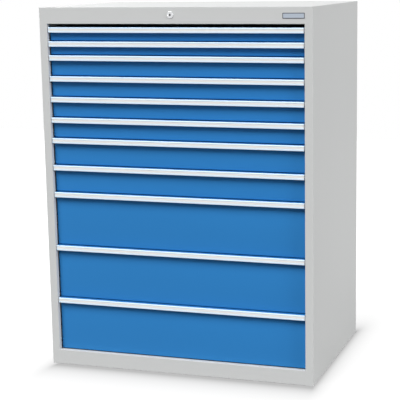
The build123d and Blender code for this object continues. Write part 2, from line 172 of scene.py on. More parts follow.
@dataclass
class Shell:
    """Points and faces of a piece, gathered surface by surface."""

    points: list[np.ndarray] = field(default_factory=list)
    faces: list[list[int]] = field(default_factory=list)
    count: int = 0

    def grid(self, surface: np.ndarray, closed_rows: bool = False, closed_columns: bool = False,
             keep: np.ndarray | None = None) -> "Shell":
        """Adds a surface given as a grid of points, with a four-sided face between neighbouring points.

        Args:
            surface: Array of rows x columns x 3.
            closed_rows: Whether the last row joins the first.
            closed_columns: Whether the last column joins the first.
            keep: Which faces are kept, one truth value for each, or all of them.

        Returns:
            The shell itself.
        """
        rows, columns = surface.shape[:2]
        index = np.arange(rows * columns).reshape(rows, columns) + self.count
        if closed_rows:
            index = np.vstack((index, index[:1]))
        if closed_columns:
            index = np.hstack((index, index[:, :1]))
        quads = np.stack((index[:-1, :-1], index[:-1, 1:], index[1:, 1:], index[1:, :-1]), axis=-1)
        chosen = quads[keep] if keep is not None else quads.reshape(-1, 4)
        self.points.append(surface.reshape(-1, 3))
        self.faces.extend(chosen.tolist())
        self.count += rows * columns
        return self

    def lid(self, start: int, size: int, turned: bool = False) -> "Shell":
        """Closes a ring of points, given by its first one and their number, with one face."""
        self.faces.append(list(range(start, start + size))[::-1 if turned else 1])
        return self

    def carry(self, profile: np.ndarray, origins: np.ndarray, across: np.ndarray, upwards: np.ndarray,
              closed_path: bool = False) -> "Shell":
        """Carries a closed profile along a path: point = origin + u * across + v * upwards at each station.

        Args:
            profile: Array of points (u, v).
            origins: Array of stations x 3.
            across: Direction of u, for all stations or for each.
            upwards: Direction of v, for all stations or for each.
            closed_path: Whether the path comes back to its start. An open path gets a face at each end.

        Returns:
            The shell itself.
        """
        across, upwards = (np.broadcast_to(way, origins.shape) for way in (across, upwards))
        surface = (
            origins[:, None]
            + profile[None, :, 0, None] * across[:, None]
            + profile[None, :, 1, None] * upwards[:, None]
        )
        start, size = self.count, len(profile)
        self.grid(surface, closed_rows=closed_path, closed_columns=True)
        if not closed_path:
            self.lid(start, size, turned=True).lid(self.count - size, size)
        return self

    def bar(self, profile: np.ndarray, run: Run, span: Sequence[float]) -> "Shell":
        """Carries a closed profile straight along x, y or z, from the span's start to its end."""
        along, across, upwards = np.array(run.value, float)
        return self.carry(profile, np.outer(span, along), across, upwards)

    def turn(self, profile: np.ndarray, centre: Triple, axis: Triple, steps: int,
             ring: bool = False) -> "Shell":
        """Turns a profile round an axis: point = centre + along * axis + radius * (cos t, sin t).

        The ends of an open profile are closed by a face each.

        Args:
            profile: Array of points (along, radius), or of rows of radii over the turn after the place along.
            centre: A point on the axis.
            axis: Direction of the axis.
            steps: Parts of a full turn.
            ring: Whether the profile is closed, so that it makes a ring.

        Returns:
            The shell itself.
        """
        line = np.array(axis, float)
        side = np.cross(line, (0.0, 0.0, 1.0) if abs(line[2]) < 0.9 else (1.0, 0.0, 0.0))
        side /= np.linalg.norm(side)
        other = np.cross(line, side)
        angle = np.linspace(0, 2 * math.pi, steps, endpoint=False)
        spokes = np.cos(angle)[:, None] * side + np.sin(angle)[:, None] * other
        surface = np.array(centre) + profile[:, None, 0, None] * line + profile[:, 1:, None] * spokes[None]
        start = self.count
        self.grid(surface, closed_rows=ring, closed_columns=True)
        return self if ring else self.lid(start, steps).lid(self.count - steps, steps, turned=True)

    def slab(self, outer: np.ndarray, inner: np.ndarray) -> "Shell":
        """Adds a sheet between two grids of the same shape, closed by a strip round their borders."""
        borders = [np.concatenate((g[0], g[1:, -1], g[-1, -2::-1], g[-2:0:-1, 0])) for g in (outer, inner)]
        return self.grid(outer).grid(inner).grid(np.stack(borders), closed_columns=True)

    def rings(self, levels: Sequence[tuple[np.ndarray, float]], closed: bool = False) -> "Shell":
        """Joins upright outlines (x, z), each at its own depth y, and where closed also the last to the first."""
        surface = np.stack([np.column_stack((p[:, 0], np.full(len(p), y), p[:, 1])) for p, y in levels])
        return self.grid(surface, closed_rows=closed, closed_columns=True)

    def ledge(self, outer: np.ndarray, inner: np.ndarray, face: float, rise: float,
              steps: Sequence[Pair]) -> "Shell":
        """Adds a raised ring: a step (s, h) is the outline outer * (1 - s) + inner * s at face - rise * h."""
        levels = [(outer * (1 - share) + inner * share, face - rise * height) for share, height in steps]
        return self.rings(levels, closed=True)

    def mirrored(self) -> "Shell":
        """The same surfaces on the cabinet's other side, with the faces turned round to point outwards."""
        flipped = [p * np.array((-1.0, 1.0, 1.0)) for p in self.points]
        return Shell(flipped, [face[::-1] for face in self.faces], self.count)

    def doubled(self) -> "Shell":
        """The surfaces on both sides of the cabinet.

        Returns:
            A shell with twice as many points and faces.
        """
        other = self.mirrored()
        faces = self.faces + [[i + self.count for i in face] for face in other.faces]
        return Shell(self.points + other.points, faces, self.count + other.count)


def put_in_scene(name: str, data: bpy.types.ID) -> bpy.types.Object:
    """Makes an object of a mesh, a lamp or a camera and links it to the scene.

    Args:
        name: Name of the object.
        data: What it shows.

    Returns:
        The new object, at the origin.
    """
    made = bpy.data.objects.new(name, data)
    bpy.context.scene.collection.objects.link(made)
    return made


@dataclass(frozen=True)
class Bench:
    """Turns shells into finished pieces of the object, and dresses the frame's own nodes."""

    nodes: Nodes
    sharp_angle: float = 35.0
    weld: float = 1e-6

    def piece(self, name: str, shell: Shell, body: str, finish: "Finish", slot: Slot,
              replaced: Sequence[str] = (), sheet: float = 0.0) -> None:
        """Makes one piece from a shell, dresses it and lets it ride on its body.

        Args:
            name: Name of the piece.
            shell: Its surfaces.
            body: The CAD body that it moves with.
            finish: Its finish.
            slot: The record's material slot. Not used.
            replaced: CAD nodes that it stands for.
            sheet: Thickness that an open surface gets on its inner side.
        """
        mesh = bpy.data.meshes.new(name)
        mesh.from_pydata(np.vstack(shell.points).tolist(), [], shell.faces)
        work = bmesh.new()
        work.from_mesh(mesh)
        bmesh.ops.remove_doubles(work, verts=work.verts, dist=self.weld)
        bmesh.ops.recalc_face_normals(work, faces=work.faces)
        work.to_mesh(mesh)
        work.free()
        mesh.validate()
        mesh.shade_smooth()
        mesh.set_sharp_from_angle(angle=math.radians(self.sharp_angle))
        mesh.materials.append(finish.material())
        piece = put_in_scene(name, mesh)
        if sheet:
            wall = piece.modifiers.new("sheet", "SOLIDIFY")
            wall.thickness = sheet
            wall.offset = -1.0
            wall.use_even_offset = True
        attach(piece, body)
        if replaced:
            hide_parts(*replaced)
        log.info("%s: %d faces on %s", name, len(mesh.polygons), body)

    def dress(self, names: Sequence[str], finish: "Finish") -> None:
        """Gives CAD nodes a finish in place of the plain one that they came with.

        Args:
            names: Which nodes are dressed.
            finish: Their finish.
        """
        for name in names:
            coats = self.nodes[name].data.materials
            coats.clear()
            coats.append(finish.material())
            log.info("%s: %s", name, finish.name)


# Node groups: effects that more than one finish uses


@dataclass
class Wiring:
    """A node tree with short ways to add and join its nodes."""

    tree: bpy.types.NodeTree

    def node(self, kind: str, inputs: dict[str | int, object] | None = None, **values: object) -> Node:
        """Adds a node, sets its own properties and fills its inputs.

        Args:
            kind: Blender's name of the node's type.
            inputs: A value or a socket for each input, by name or place.
            **values: Properties of the node.

        Returns:
            The new node.
        """
        made = self.tree.nodes.new(kind)
        for key, value in values.items():
            setattr(made, key, value)
        for key, value in (inputs or {}).items():
            if isinstance(value, Socket):
                self.join(value, made.inputs[key])
            else:
                made.inputs[key].default_value = value
        return made

    def join(self, out: Socket, into: Socket) -> None:
        """Joins an output to an input."""
        self.tree.links.new(out, into)

    def maths(self, operation: str, *inputs: object, clamp: bool = False) -> Socket:
        """Adds a Math node over numbers or sockets, and where asked keeps its result from 0 to 1."""
        return self.node("ShaderNodeMath", dict(enumerate(inputs)), operation=operation, use_clamp=clamp).outputs[0]

    def noise(self, vector: Socket, scale: object, detail: float = 2.0, roughness: float = 0.5) -> Socket:
        """Adds a noise texture over a vector: waves to a metre, number of finer layers and their strength."""
        inputs = {"Vector": vector, "Scale": scale, "Detail": detail, "Roughness": roughness}
        return self.node("ShaderNodeTexNoise", inputs).outputs[0]

    def spread(self, value: Socket, low: Sequence, high: Sequence, **values: object) -> Socket:
        """Maps a value from one range to another, whose ends are given as pairs: before and after."""
        ends = dict(zip(("From Min", "To Min", "From Max", "To Max"), (*low, *high)))
        return self.node("ShaderNodeMapRange", {"Value": value, **ends}, **values).outputs[0]


@dataclass
class GroupWiring(Wiring):
    """The tree of a node group, with the group's inputs and outputs by name."""

    given: dict[str, Socket]
    wanted: dict[str, Socket]

    def put(self, name: str, out: Socket) -> None:
        """Joins a result to one of the group's outputs."""
        self.join(out, self.wanted[name])


@dataclass
class SurfaceWiring(Wiring):
    """The tree of a material, with its Object coordinates and its Principled shader."""

    place: Socket
    shader: Node


def cleared(owner: bpy.types.Material | bpy.types.World) -> Wiring:
    """Empties the node tree of a new material or world.

    Args:
        owner: The material or world.

    Returns:
        Its tree, ready for new nodes.
    """
    owner.use_nodes = True
    owner.node_tree.nodes.clear()
    return Wiring(owner.node_tree)


@dataclass(frozen=True)
class Effect:
    """A shared node group: a name, its inputs with their values, its outputs, and how it is wired."""

    name: str
    inputs: dict[str, float]
    outputs: tuple[str, ...]
    wire: Callable[[GroupWiring], None]

    def group(self) -> bpy.types.NodeTree:
        """Makes the node group the first time that it is asked for.

        Returns:
            The group's tree.
        """
        if self.name in bpy.data.node_groups:
            return bpy.data.node_groups[self.name]
        tree = bpy.data.node_groups.new(self.name, "ShaderNodeTree")
        tree.interface.new_socket("Vector", in_out="INPUT", socket_type="NodeSocketVector")
        for name, value in self.inputs.items():
            socket = tree.interface.new_socket(name, in_out="INPUT", socket_type="NodeSocketFloat")
            socket.default_value = value
        for name in self.outputs:
            tree.interface.new_socket(name, in_out="OUTPUT", socket_type="NodeSocketFloat")
        given = {socket.name: socket for socket in tree.nodes.new("NodeGroupInput").outputs if socket.name}
        wanted = {socket.name: socket for socket in tree.nodes.new("NodeGroupOutput").inputs if socket.name}
        self.wire(GroupWiring(tree, given, wanted))
        return tree

    def on(self, s: SurfaceWiring, **values: float) -> dict[str, Socket]:
        """The group's outputs in a material, placed there with its own values."""
        made = s.node("ShaderNodeGroup", {"Vector": s.place, **values}, node_tree=self.group())
        return {name: made.outputs[name] for name in self.outputs}


def wire_peel(g: GroupWiring) -> None:
    """Orange peel of sprayed powder: a soft height of rounded dimples with a finer grain on them.

    Args:
        g: The group's tree.
    """
    grain_share = 3.7
    dimple = g.noise(g.given["Vector"], g.given["Scale"], 1.0)
    grain = g.noise(g.given["Vector"], g.maths("MULTIPLY", g.given["Scale"], grain_share))
    g.put("Height", g.maths("MULTIPLY_ADD", grain, g.given["Grain"], dimple))


def wire_drift(g: GroupWiring) -> None:
    """Slow change of shade over a sheet, as paint and light handling leave it, around 1.

    Args:
        g: The group's tree.
    """
    broad_scale, small_scale, small_share = 2.3, 31.0, 0.4
    broad = g.maths("SUBTRACT", g.noise(g.given["Vector"], broad_scale), 0.5)
    small = g.maths("SUBTRACT", g.noise(g.given["Vector"], small_scale, 3.0), 0.5)
    both = g.maths("MULTIPLY_ADD", small, small_share, broad)
    g.put("Shade", g.maths("MULTIPLY_ADD", both, g.given["Amount"], 1.0))
    g.put("Change", g.maths("MULTIPLY", both, g.given["Amount"]))


def wire_dust(g: GroupWiring) -> None:
    """Fine dust that settles low on the cabinet: a mask that falls from the floor up, broken by noise.

    Args:
        g: The group's tree.
    """
    patch_scale, patch_from, patch_to = 60.0, 0.35, 0.75
    height = g.node("ShaderNodeSeparateXYZ", {0: g.given["Vector"]}).outputs["Z"]
    low = g.spread(height, (0.0, 1.0), (g.given["Reach"], 0.0), interpolation_type="SMOOTHSTEP")
    broken = g.spread(g.noise(g.given["Vector"], patch_scale, 5.0, 0.65), (patch_from, 0.0), (patch_to, 1.0))
    g.put("Mask", g.maths("MULTIPLY", g.maths("MULTIPLY", low, broken), g.given["Amount"], clamp=True))


def wire_welds(g: GroupWiring) -> None:
    """Spot welds in rows down the rear flanges and across the head and foot of the back.

    With r the way to the nearest spot, the height is lip * exp(-((r - ring) / width) ** 2) - exp(-(r / pit) ** 2),
    and only the rear face has it.

    Args:
        g: The group's tree.
    """
    pit, ring, width, lip = 2.4 * MM, 3.8 * MM, 0.8 * MM, 0.4
    x, y, z = g.node("ShaderNodeSeparateXYZ", {0: g.given["Vector"]}).outputs
    half_pitch = g.maths("MULTIPLY", g.given["Pitch"], 0.5)
    side = g.maths("SUBTRACT", g.maths("ABSOLUTE", x), g.given["Flange"])
    rise = g.maths("MINIMUM", *(g.maths("ABSOLUTE", g.maths("SUBTRACT", z, g.given[row])) for row in ("Head", "Foot")))
    rows = []
    for off, along in ((side, z), (rise, x)):
        step = g.maths("PINGPONG", along, half_pitch)
        rows.append(g.maths("SQRT", g.maths("MULTIPLY_ADD", off, off, g.maths("MULTIPLY", step, step))))
    far = g.maths("MINIMUM", *rows)
    bells = []
    for way in (g.maths("MULTIPLY", far, 1 / pit), g.maths("MULTIPLY", g.maths("SUBTRACT", far, ring), 1 / width)):
        bells.append(g.maths("EXPONENT", g.maths("MULTIPLY", g.maths("MULTIPLY", way, way), -1.0)))
    shape = g.maths("SUBTRACT", g.maths("MULTIPLY", bells[1], lip), bells[0])
    g.put("Height", g.maths("MULTIPLY", shape, g.maths("GREATER_THAN", y, g.given["Rear"])))


def wire_brush(g: GroupWiring) -> None:
    """Drawing lines along x: noise that is stretched along the length of an extrusion.

    Args:
        g: The group's tree.
    """
    stretch = (0.012, 1.0, 1.0)
    squeezed = g.node("ShaderNodeMapping", {"Scale": stretch, "Vector": g.given["Vector"]}).outputs[0]
    lines = g.noise(squeezed, g.given["Scale"], 4.0, 0.7)
    g.put("Line", lines)
    g.put("Change", g.maths("MULTIPLY", g.maths("SUBTRACT", lines, 0.5), g.given["Amount"]))


def wire_spangle(g: GroupWiring) -> None:
    """Crystals of a zinc coat: cells of even shade with soft borders.

    Args:
        g: The group's tree.
    """
    cells = g.node("ShaderNodeTexVoronoi", {"Vector": g.given["Vector"], "Scale": g.given["Scale"]})
    shade = g.node("ShaderNodeSeparateColor", {0: cells.outputs["Color"]}).outputs[0]
    g.put("Change", g.maths("MULTIPLY", g.maths("SUBTRACT", shade, 0.5), g.given["Amount"]))


PEEL = Effect("powder_peel", {"Scale": 700.0, "Grain": 0.25}, ("Height",), wire_peel)
DRIFT = Effect("shade_drift", {"Amount": 0.05}, ("Shade", "Change"), wire_drift)
DUST = Effect("low_dust", {"Reach": 0.12, "Amount": 0.5}, ("Mask",), wire_dust)
WELD_PLACES = {"Flange": 0.4925, "Pitch": 0.06, "Head": 1.3145, "Foot": 0.04, "Rear": 0.347}
WELDS = Effect("rear_spot_welds", WELD_PLACES, ("Height",), wire_welds)
BRUSH = Effect("drawing_lines", {"Scale": 900.0, "Amount": 0.1}, ("Line", "Change"), wire_brush)
SPANGLE = Effect("zinc_spangle", {"Scale": 90.0, "Amount": 0.1}, ("Change",), wire_spangle)


# Finishes


@dataclass(frozen=True)
class Finish:
    """A finish: a colour and a roughness that its kind's wiring makes to vary over the surface.

    The relief is the strength of the bump and the depth in metres of a height of 1.
    """

    name: str
    colour: Triple
    roughness: float
    metallic: float = 0.0
    specular: float = 0.5
    coat: float = 0.0
    coat_roughness: float = 0.12
    relief: Pair = (1.0, 1.0 * MM)

    def wire(self, s: SurfaceWiring) -> None:
        """Wires what changes over the surface."""
        raise NotImplementedError

    def material(self) -> bpy.types.Material:
        """Makes the material the first time that it is asked for.

        Returns:
            The material.
        """
        if self.name in bpy.data.materials:
            return bpy.data.materials[self.name]
        made = bpy.data.materials.new(self.name)
        made.diffuse_color = (*self.colour, 1.0)
        w = cleared(made)
        shader = w.node("ShaderNodeBsdfPrincipled", {
            "Base Color": (*self.colour, 1.0), "Roughness": self.roughness, "Metallic": self.metallic,
            "Specular IOR Level": self.specular, "Coat Weight": self.coat, "Coat Roughness": self.coat_roughness,
        })
        self.wire(SurfaceWiring(w.tree, w.node("ShaderNodeTexCoord").outputs["Object"], shader))
        w.node("ShaderNodeOutputMaterial", {"Surface": shader.outputs[0]})
        return made

    def shaded(self, s: SurfaceWiring, shade: Socket) -> Socket:
        """The finish's colour times a shade around 1."""
        return s.node("ShaderNodeVectorMath", {0: self.colour, "Scale": shade}, operation="SCALE").outputs[0]

    def vary(self, s: SurfaceWiring, colour: Socket, change: Socket, height: Socket) -> None:
        """Joins what varies to the shader: the colour, the roughness plus a change, and the relief.

        Args:
            s: The material's tree.
            colour: The colour over the surface.
            change: What is added to the roughness.
            height: The height over the surface.
        """
        strength, depth = self.relief
        bump = s.node("ShaderNodeBump", {"Strength": strength, "Distance": depth, "Height": height})
        s.join(colour, s.shader.inputs["Base Color"])
        s.join(s.maths("ADD", change, self.roughness, clamp=True), s.shader.inputs["Roughness"])
        s.join(bump.outputs[0], s.shader.inputs["Normal"])


@dataclass(frozen=True)
class PowderCoat(Finish):
    """Sprayed and baked powder on sheet steel: orange peel, a slow drift of shade and a little dust at the foot."""

    drift: float = 0.03
    drift_sheen: float = 1.5
    dust: float = 0.25
    dust_reach: float = 0.1
    dust_sheen: float = 0.3
    dust_colour: Triple = (0.42, 0.4, 0.37)
    peel_scale: float = 650.0
    peel_grain: float = 0.2
    peel_height: float = 0.042
    welds: float = 0.0

    def wire(self, s: SurfaceWiring) -> None:
        """Wires shade, dust, roughness and the peel's bump.

        Args:
            s: The material's tree.
        """
        drift = DRIFT.on(s, Amount=self.drift)
        dust = DUST.on(s, Reach=self.dust_reach, Amount=self.dust)["Mask"]
        paint = {"Factor": dust, "A": self.shaded(s, drift["Shade"]), "B": (*self.dust_colour, 1.0)}
        colour = s.node("ShaderNodeMix", paint, data_type="RGBA").outputs["Result"]
        sheen = s.maths("MULTIPLY", drift["Change"], self.drift_sheen)
        peel = PEEL.on(s, Scale=self.peel_scale, Grain=self.peel_grain)["Height"]
        height = s.maths("MULTIPLY", peel, self.peel_height)
        if self.welds:
            height = s.maths("MULTIPLY_ADD", WELDS.on(s)["Height"], self.welds, height)
        self.vary(s, colour, s.maths("MULTIPLY_ADD", dust, self.dust_sheen, sheen), height)


@dataclass(frozen=True)
class DrawnMetal(Finish):
    """Extruded or cold-drawn metal: lines along its length and a faint change of sheen."""

    relief: Pair = (0.12, 0.04 * MM)
    lines: float = 0.12
    line_scale: float = 900.0
    line_shade: float = 0.5

    def wire(self, s: SurfaceWiring) -> None:
        """Wires the lines into colour, roughness and bump, with less of them in the colour.

        Args:
            s: The material's tree.
        """
        brush = BRUSH.on(s, Scale=self.line_scale, Amount=self.lines)
        shade = s.maths("MULTIPLY_ADD", brush["Change"], self.line_shade, 1.0)
        self.vary(s, self.shaded(s, shade), brush["Change"], brush["Line"])


@dataclass(frozen=True)
class ZincPlate(Finish):
    """Zinc-coated sheet with its crystals, and a dull bloom here and there."""

    relief: Pair = (0.15, 0.05 * MM)
    spangle: float = 0.18
    cell_scale: float = 110.0
    bloom: float = 0.2
    grain_scale: float = 1400.0

    def wire(self, s: SurfaceWiring) -> None:
        """Wires the crystals into colour and roughness, and a fine grain into the bump.

        Args:
            s: The material's tree.
        """
        cells = SPANGLE.on(s, Scale=self.cell_scale, Amount=self.spangle)["Change"]
        shade = s.maths("ADD", cells, DRIFT.on(s, Amount=self.bloom)["Shade"])
        self.vary(s, self.shaded(s, shade), cells, s.noise(s.place, self.grain_scale, 3.0))


@dataclass(frozen=True)
class PlatedMetal(Finish):
    """Polished plating, with faint fine scratches that only the gloss shows."""

    relief: Pair = (0.05, 0.03 * MM)
    scratch: float = 0.06
    scratch_scale: float = 2600.0
    wave_scale: float = 900.0

    def wire(self, s: SurfaceWiring) -> None:
        """Wires a change of shade and scratches in the gloss.

        Args:
            s: The material's tree.
        """
        scratch_from, scratch_to = 0.4, 0.7
        lines = s.noise(s.place, self.scratch_scale, 6.0, 0.8)
        marks = s.spread(lines, (scratch_from, 0.0), (scratch_to, self.scratch))
        self.vary(s, self.shaded(s, s.maths("SUBTRACT", 1.0, marks)), marks, s.noise(s.place, self.wave_scale))


@dataclass(frozen=True)
class MouldedPlastic(Finish):
    """Moulded plastic: a fine spark-eroded grain and slight flow of shade."""

    relief: Pair = (0.25, 0.08 * MM)
    flow: float = 0.12
    grain_scale: float = 2200.0

    def wire(self, s: SurfaceWiring) -> None:
        """Wires shade, roughness and the grain's bump."""
        drift = DRIFT.on(s, Amount=self.flow)
        self.vary(s, self.shaded(s, drift["Shade"]), drift["Change"], s.noise(s.place, self.grain_scale))


@dataclass(frozen=True)
class PrintedCard(Finish):
    """Uncoated card behind a clear strip: paper fibre under a smooth coat."""

    relief: Pair = (0.1, 0.03 * MM)
    fibre: float = 0.04
    fibre_sheen: float = 0.1
    fibre_scale: float = 1700.0

    def wire(self, s: SurfaceWiring) -> None:
        """Wires the fibre into colour and bump.

        Args:
            s: The material's tree.
        """
        fibre = s.noise(s.place, self.fibre_scale, 6.0, 0.7)
        shade = s.maths("MULTIPLY_ADD", s.maths("SUBTRACT", fibre, 0.5), self.fibre, 1.0)
        self.vary(s, self.shaded(s, shade), s.maths("MULTIPLY", fibre, self.fibre_sheen), fibre)


GREY_PAINT = PowderCoat("grey_powder_coat", (0.572, 0.58, 0.577), 0.48, specular=0.3, drift=0.02, dust=0.02, welds=0.8)
TRAY_PAINT = PowderCoat("tray_powder_coat", (0.56, 0.57, 0.565), 0.5, specular=0.35, drift=0.03, dust=0.1)
BLUE_PAINT = PowderCoat("blue_powder_coat", (0.026, 0.198, 0.5), 0.45, specular=0.15, drift=0.03, dust=0.0)
ANODISED = DrawnMetal("anodised_aluminium", (0.65, 0.78, 0.9), 0.5, metallic=0.35, lines=0.1)
DRAWN_STEEL = DrawnMetal("bright_drawn_steel", (0.62, 0.61, 0.59), 0.28, metallic=1.0, lines=0.15, line_scale=1500.0)
ZINC = ZincPlate("zinc_coated_steel", (0.6, 0.61, 0.63), 0.34, metallic=1.0)
CHROME = PlatedMetal("polished_chrome", (0.76, 0.77, 0.785), 0.12, metallic=1.0)
# Near-black keyway finish: painted shade for the dark inside of the keyhole, on the lining, the wards and the oval
# plate round the keyway.
KEYWAY_SHADE = PlatedMetal("keyway_painted_shade", (0.025, 0.025, 0.028), 0.8, specular=0.05, scratch=0.1)
GLIDE_PLASTIC = MouldedPlastic("white_glide_plastic", (0.72, 0.71, 0.66), 0.4)
CAP_PLASTIC = MouldedPlastic("grey_cap_plastic", (0.5, 0.51, 0.52), 0.45)
ROLLER_STEEL = PlatedMetal("ground_roller_steel", (0.58, 0.58, 0.57), 0.2, metallic=1.0, scratch=0.1)
LABEL_CARD = PrintedCard("label_card", (0.785, 0.775, 0.752), 0.6, specular=0.3, coat=0.3)
PLATE_FIELD = DrawnMetal("name_plate_field", (0.43, 0.485, 0.56), 0.3, metallic=0.5, lines=0.08)
PLATE_RIM = MouldedPlastic("name_plate_rim", (0.1, 0.11, 0.13), 0.35, relief=(0.1, 0.08 * MM))


# Sub-assemblies


def box_of(node: str) -> Box:
    """Lowest and highest corner of a CAD node, as arrays."""
    low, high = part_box(node)
    return np.array(low), np.array(high)


@dataclass
class Carcass:
    """The welded shell: side panels with their stiles, top, rail, sill, back, base and floor channels."""

    bench: Bench
    weld_round: float = 1.6 * MM
    stile_line: float = 476.5 * MM
    painted: tuple[str, ...] = (
        "left_side_panel", "right_side_panel", "top_panel", "front_top_rail", "front_sill", "base_panel",
        "floor_channels",
    )
    plated: tuple[str, ...] = ("guide_posts", "cabinet_rails")
    field_half: float = 445.0 * MM
    field_ends: tuple[Pair, ...] = ((75.0 * MM, 455.0 * MM), (485.0 * MM, 865.0 * MM), (895.0 * MM, 1275.0 * MM))
    field_rise: float = 1.2 * MM
    field_ramp: float = 4.0 * MM
    field_corner: float = 25.0 * MM

    def build(self) -> None:
        """Dresses the shell's CAD nodes, adds the back and the ground welds at the frame's corners."""
        self.bench.dress(self.painted, GREY_PAINT)
        self.bench.dress(self.plated, ZINC)
        self.add_back()
        rail_low, rail_high = box_of("front_top_rail")
        sill_low, sill_high = box_of("front_sill")
        spans = {
            "head": (rail_low[2] + self.weld_round, rail_high[2]),
            "foot": (sill_low[2], sill_high[2] - self.weld_round),
        }
        for side in Side:
            for name, span in spans.items():
                shell = self.weld(rail_low[1], span)
                if side is Side.LEFT:
                    shell = shell.mirrored()
                self.bench.piece(f"frame_weld_{side.name.lower()}_{name}", shell, CABINET, GREY_PAINT, Slot.CARCASS)

    def add_back(self) -> None:
        """Makes the back sheet with three shallow fields pressed outwards.

        With d the distance outside a field's rounded outline, the sheet stands out by
        rise * (1 + cos(pi * min(max(d / ramp, 0), 1))) / 2, and the grid's lines lie close together at the ramps.
        """
        low, high = box_of("back_panel")
        corner, ramp = self.field_corner, self.field_ramp
        near = np.linspace(-ramp, corner, 16)
        columns = np.concatenate(([low[0]], -self.field_half + near, self.field_half - near[::-1], [high[0]]))
        bands = [part for foot, head in self.field_ends for part in (foot + near, head - near[::-1])]
        x, z = np.meshgrid(columns, np.concatenate(([low[2]], *bands, [high[2]])))
        out = np.zeros_like(x)
        for foot, head in self.field_ends:
            across = np.maximum(np.abs(x) - self.field_half + corner, 0)
            up = np.maximum(np.abs(z - (foot + head) / 2) - (head - foot) / 2 + corner, 0)
            share = np.clip((np.hypot(across, up) - corner) / ramp, 0, 1)
            out = np.maximum(out, self.field_rise * (1 + np.cos(math.pi * share)) / 2)
        outer, inner = (np.stack((x, face + out, z), axis=-1) for face in (high[1], low[1]))
        shell = Shell().slab(outer, inner)
        self.bench.piece("back_sheet", shell, CABINET, GREY_PAINT, Slot.CARCASS, ["back_panel"])

    def weld(self, face: float, span: Pair) -> Shell:
        """Ground weld that fills the groove beside the stile's inner bend, flush with the frame's face.

        Its section is a corner less a quarter circle, carried straight up.

        Args:
            face: Place of the frame's front face along y.
            span: Where the weld starts and ends upwards.

        Returns:
            The weld's surfaces on the right-hand side.
        """
        r, x = self.weld_round, self.stile_line
        section = np.vstack((arc((x + r, face + r), r, 180, 270, 5), [(x, face)]))
        return Shell().bar(section, Run.Z, span)


@dataclass
class DrawerShare:
    """A sub-assembly of one drawer, with the drawers numbered from the top down."""

    bench: Bench
    number: int

    @property
    def name(self) -> str:
        """Name of the drawer's body."""
        return f"drawer_{self.number:02d}"

    @property
    def body(self) -> str:
        """Name of the body that the pieces ride on."""
        return self.name

    def node_box(self, kind: str) -> Box:
        """Lowest and highest corner of one of the drawer's CAD nodes."""
        return box_of(f"{self.name}_{kind}")

    def add_piece(self, kind: str, shell: Shell, finish: Finish, slot: Slot, replaced: str = "",
                  sheet: float = 0.0) -> None:
        """Finishes a piece that is named after the drawer, and may stand for one of the drawer's CAD nodes."""
        nodes = [f"{self.name}_{replaced}"] if replaced else []
        self.bench.piece(f"{self.name}_{kind}", shell, self.body, finish, slot, nodes, sheet)


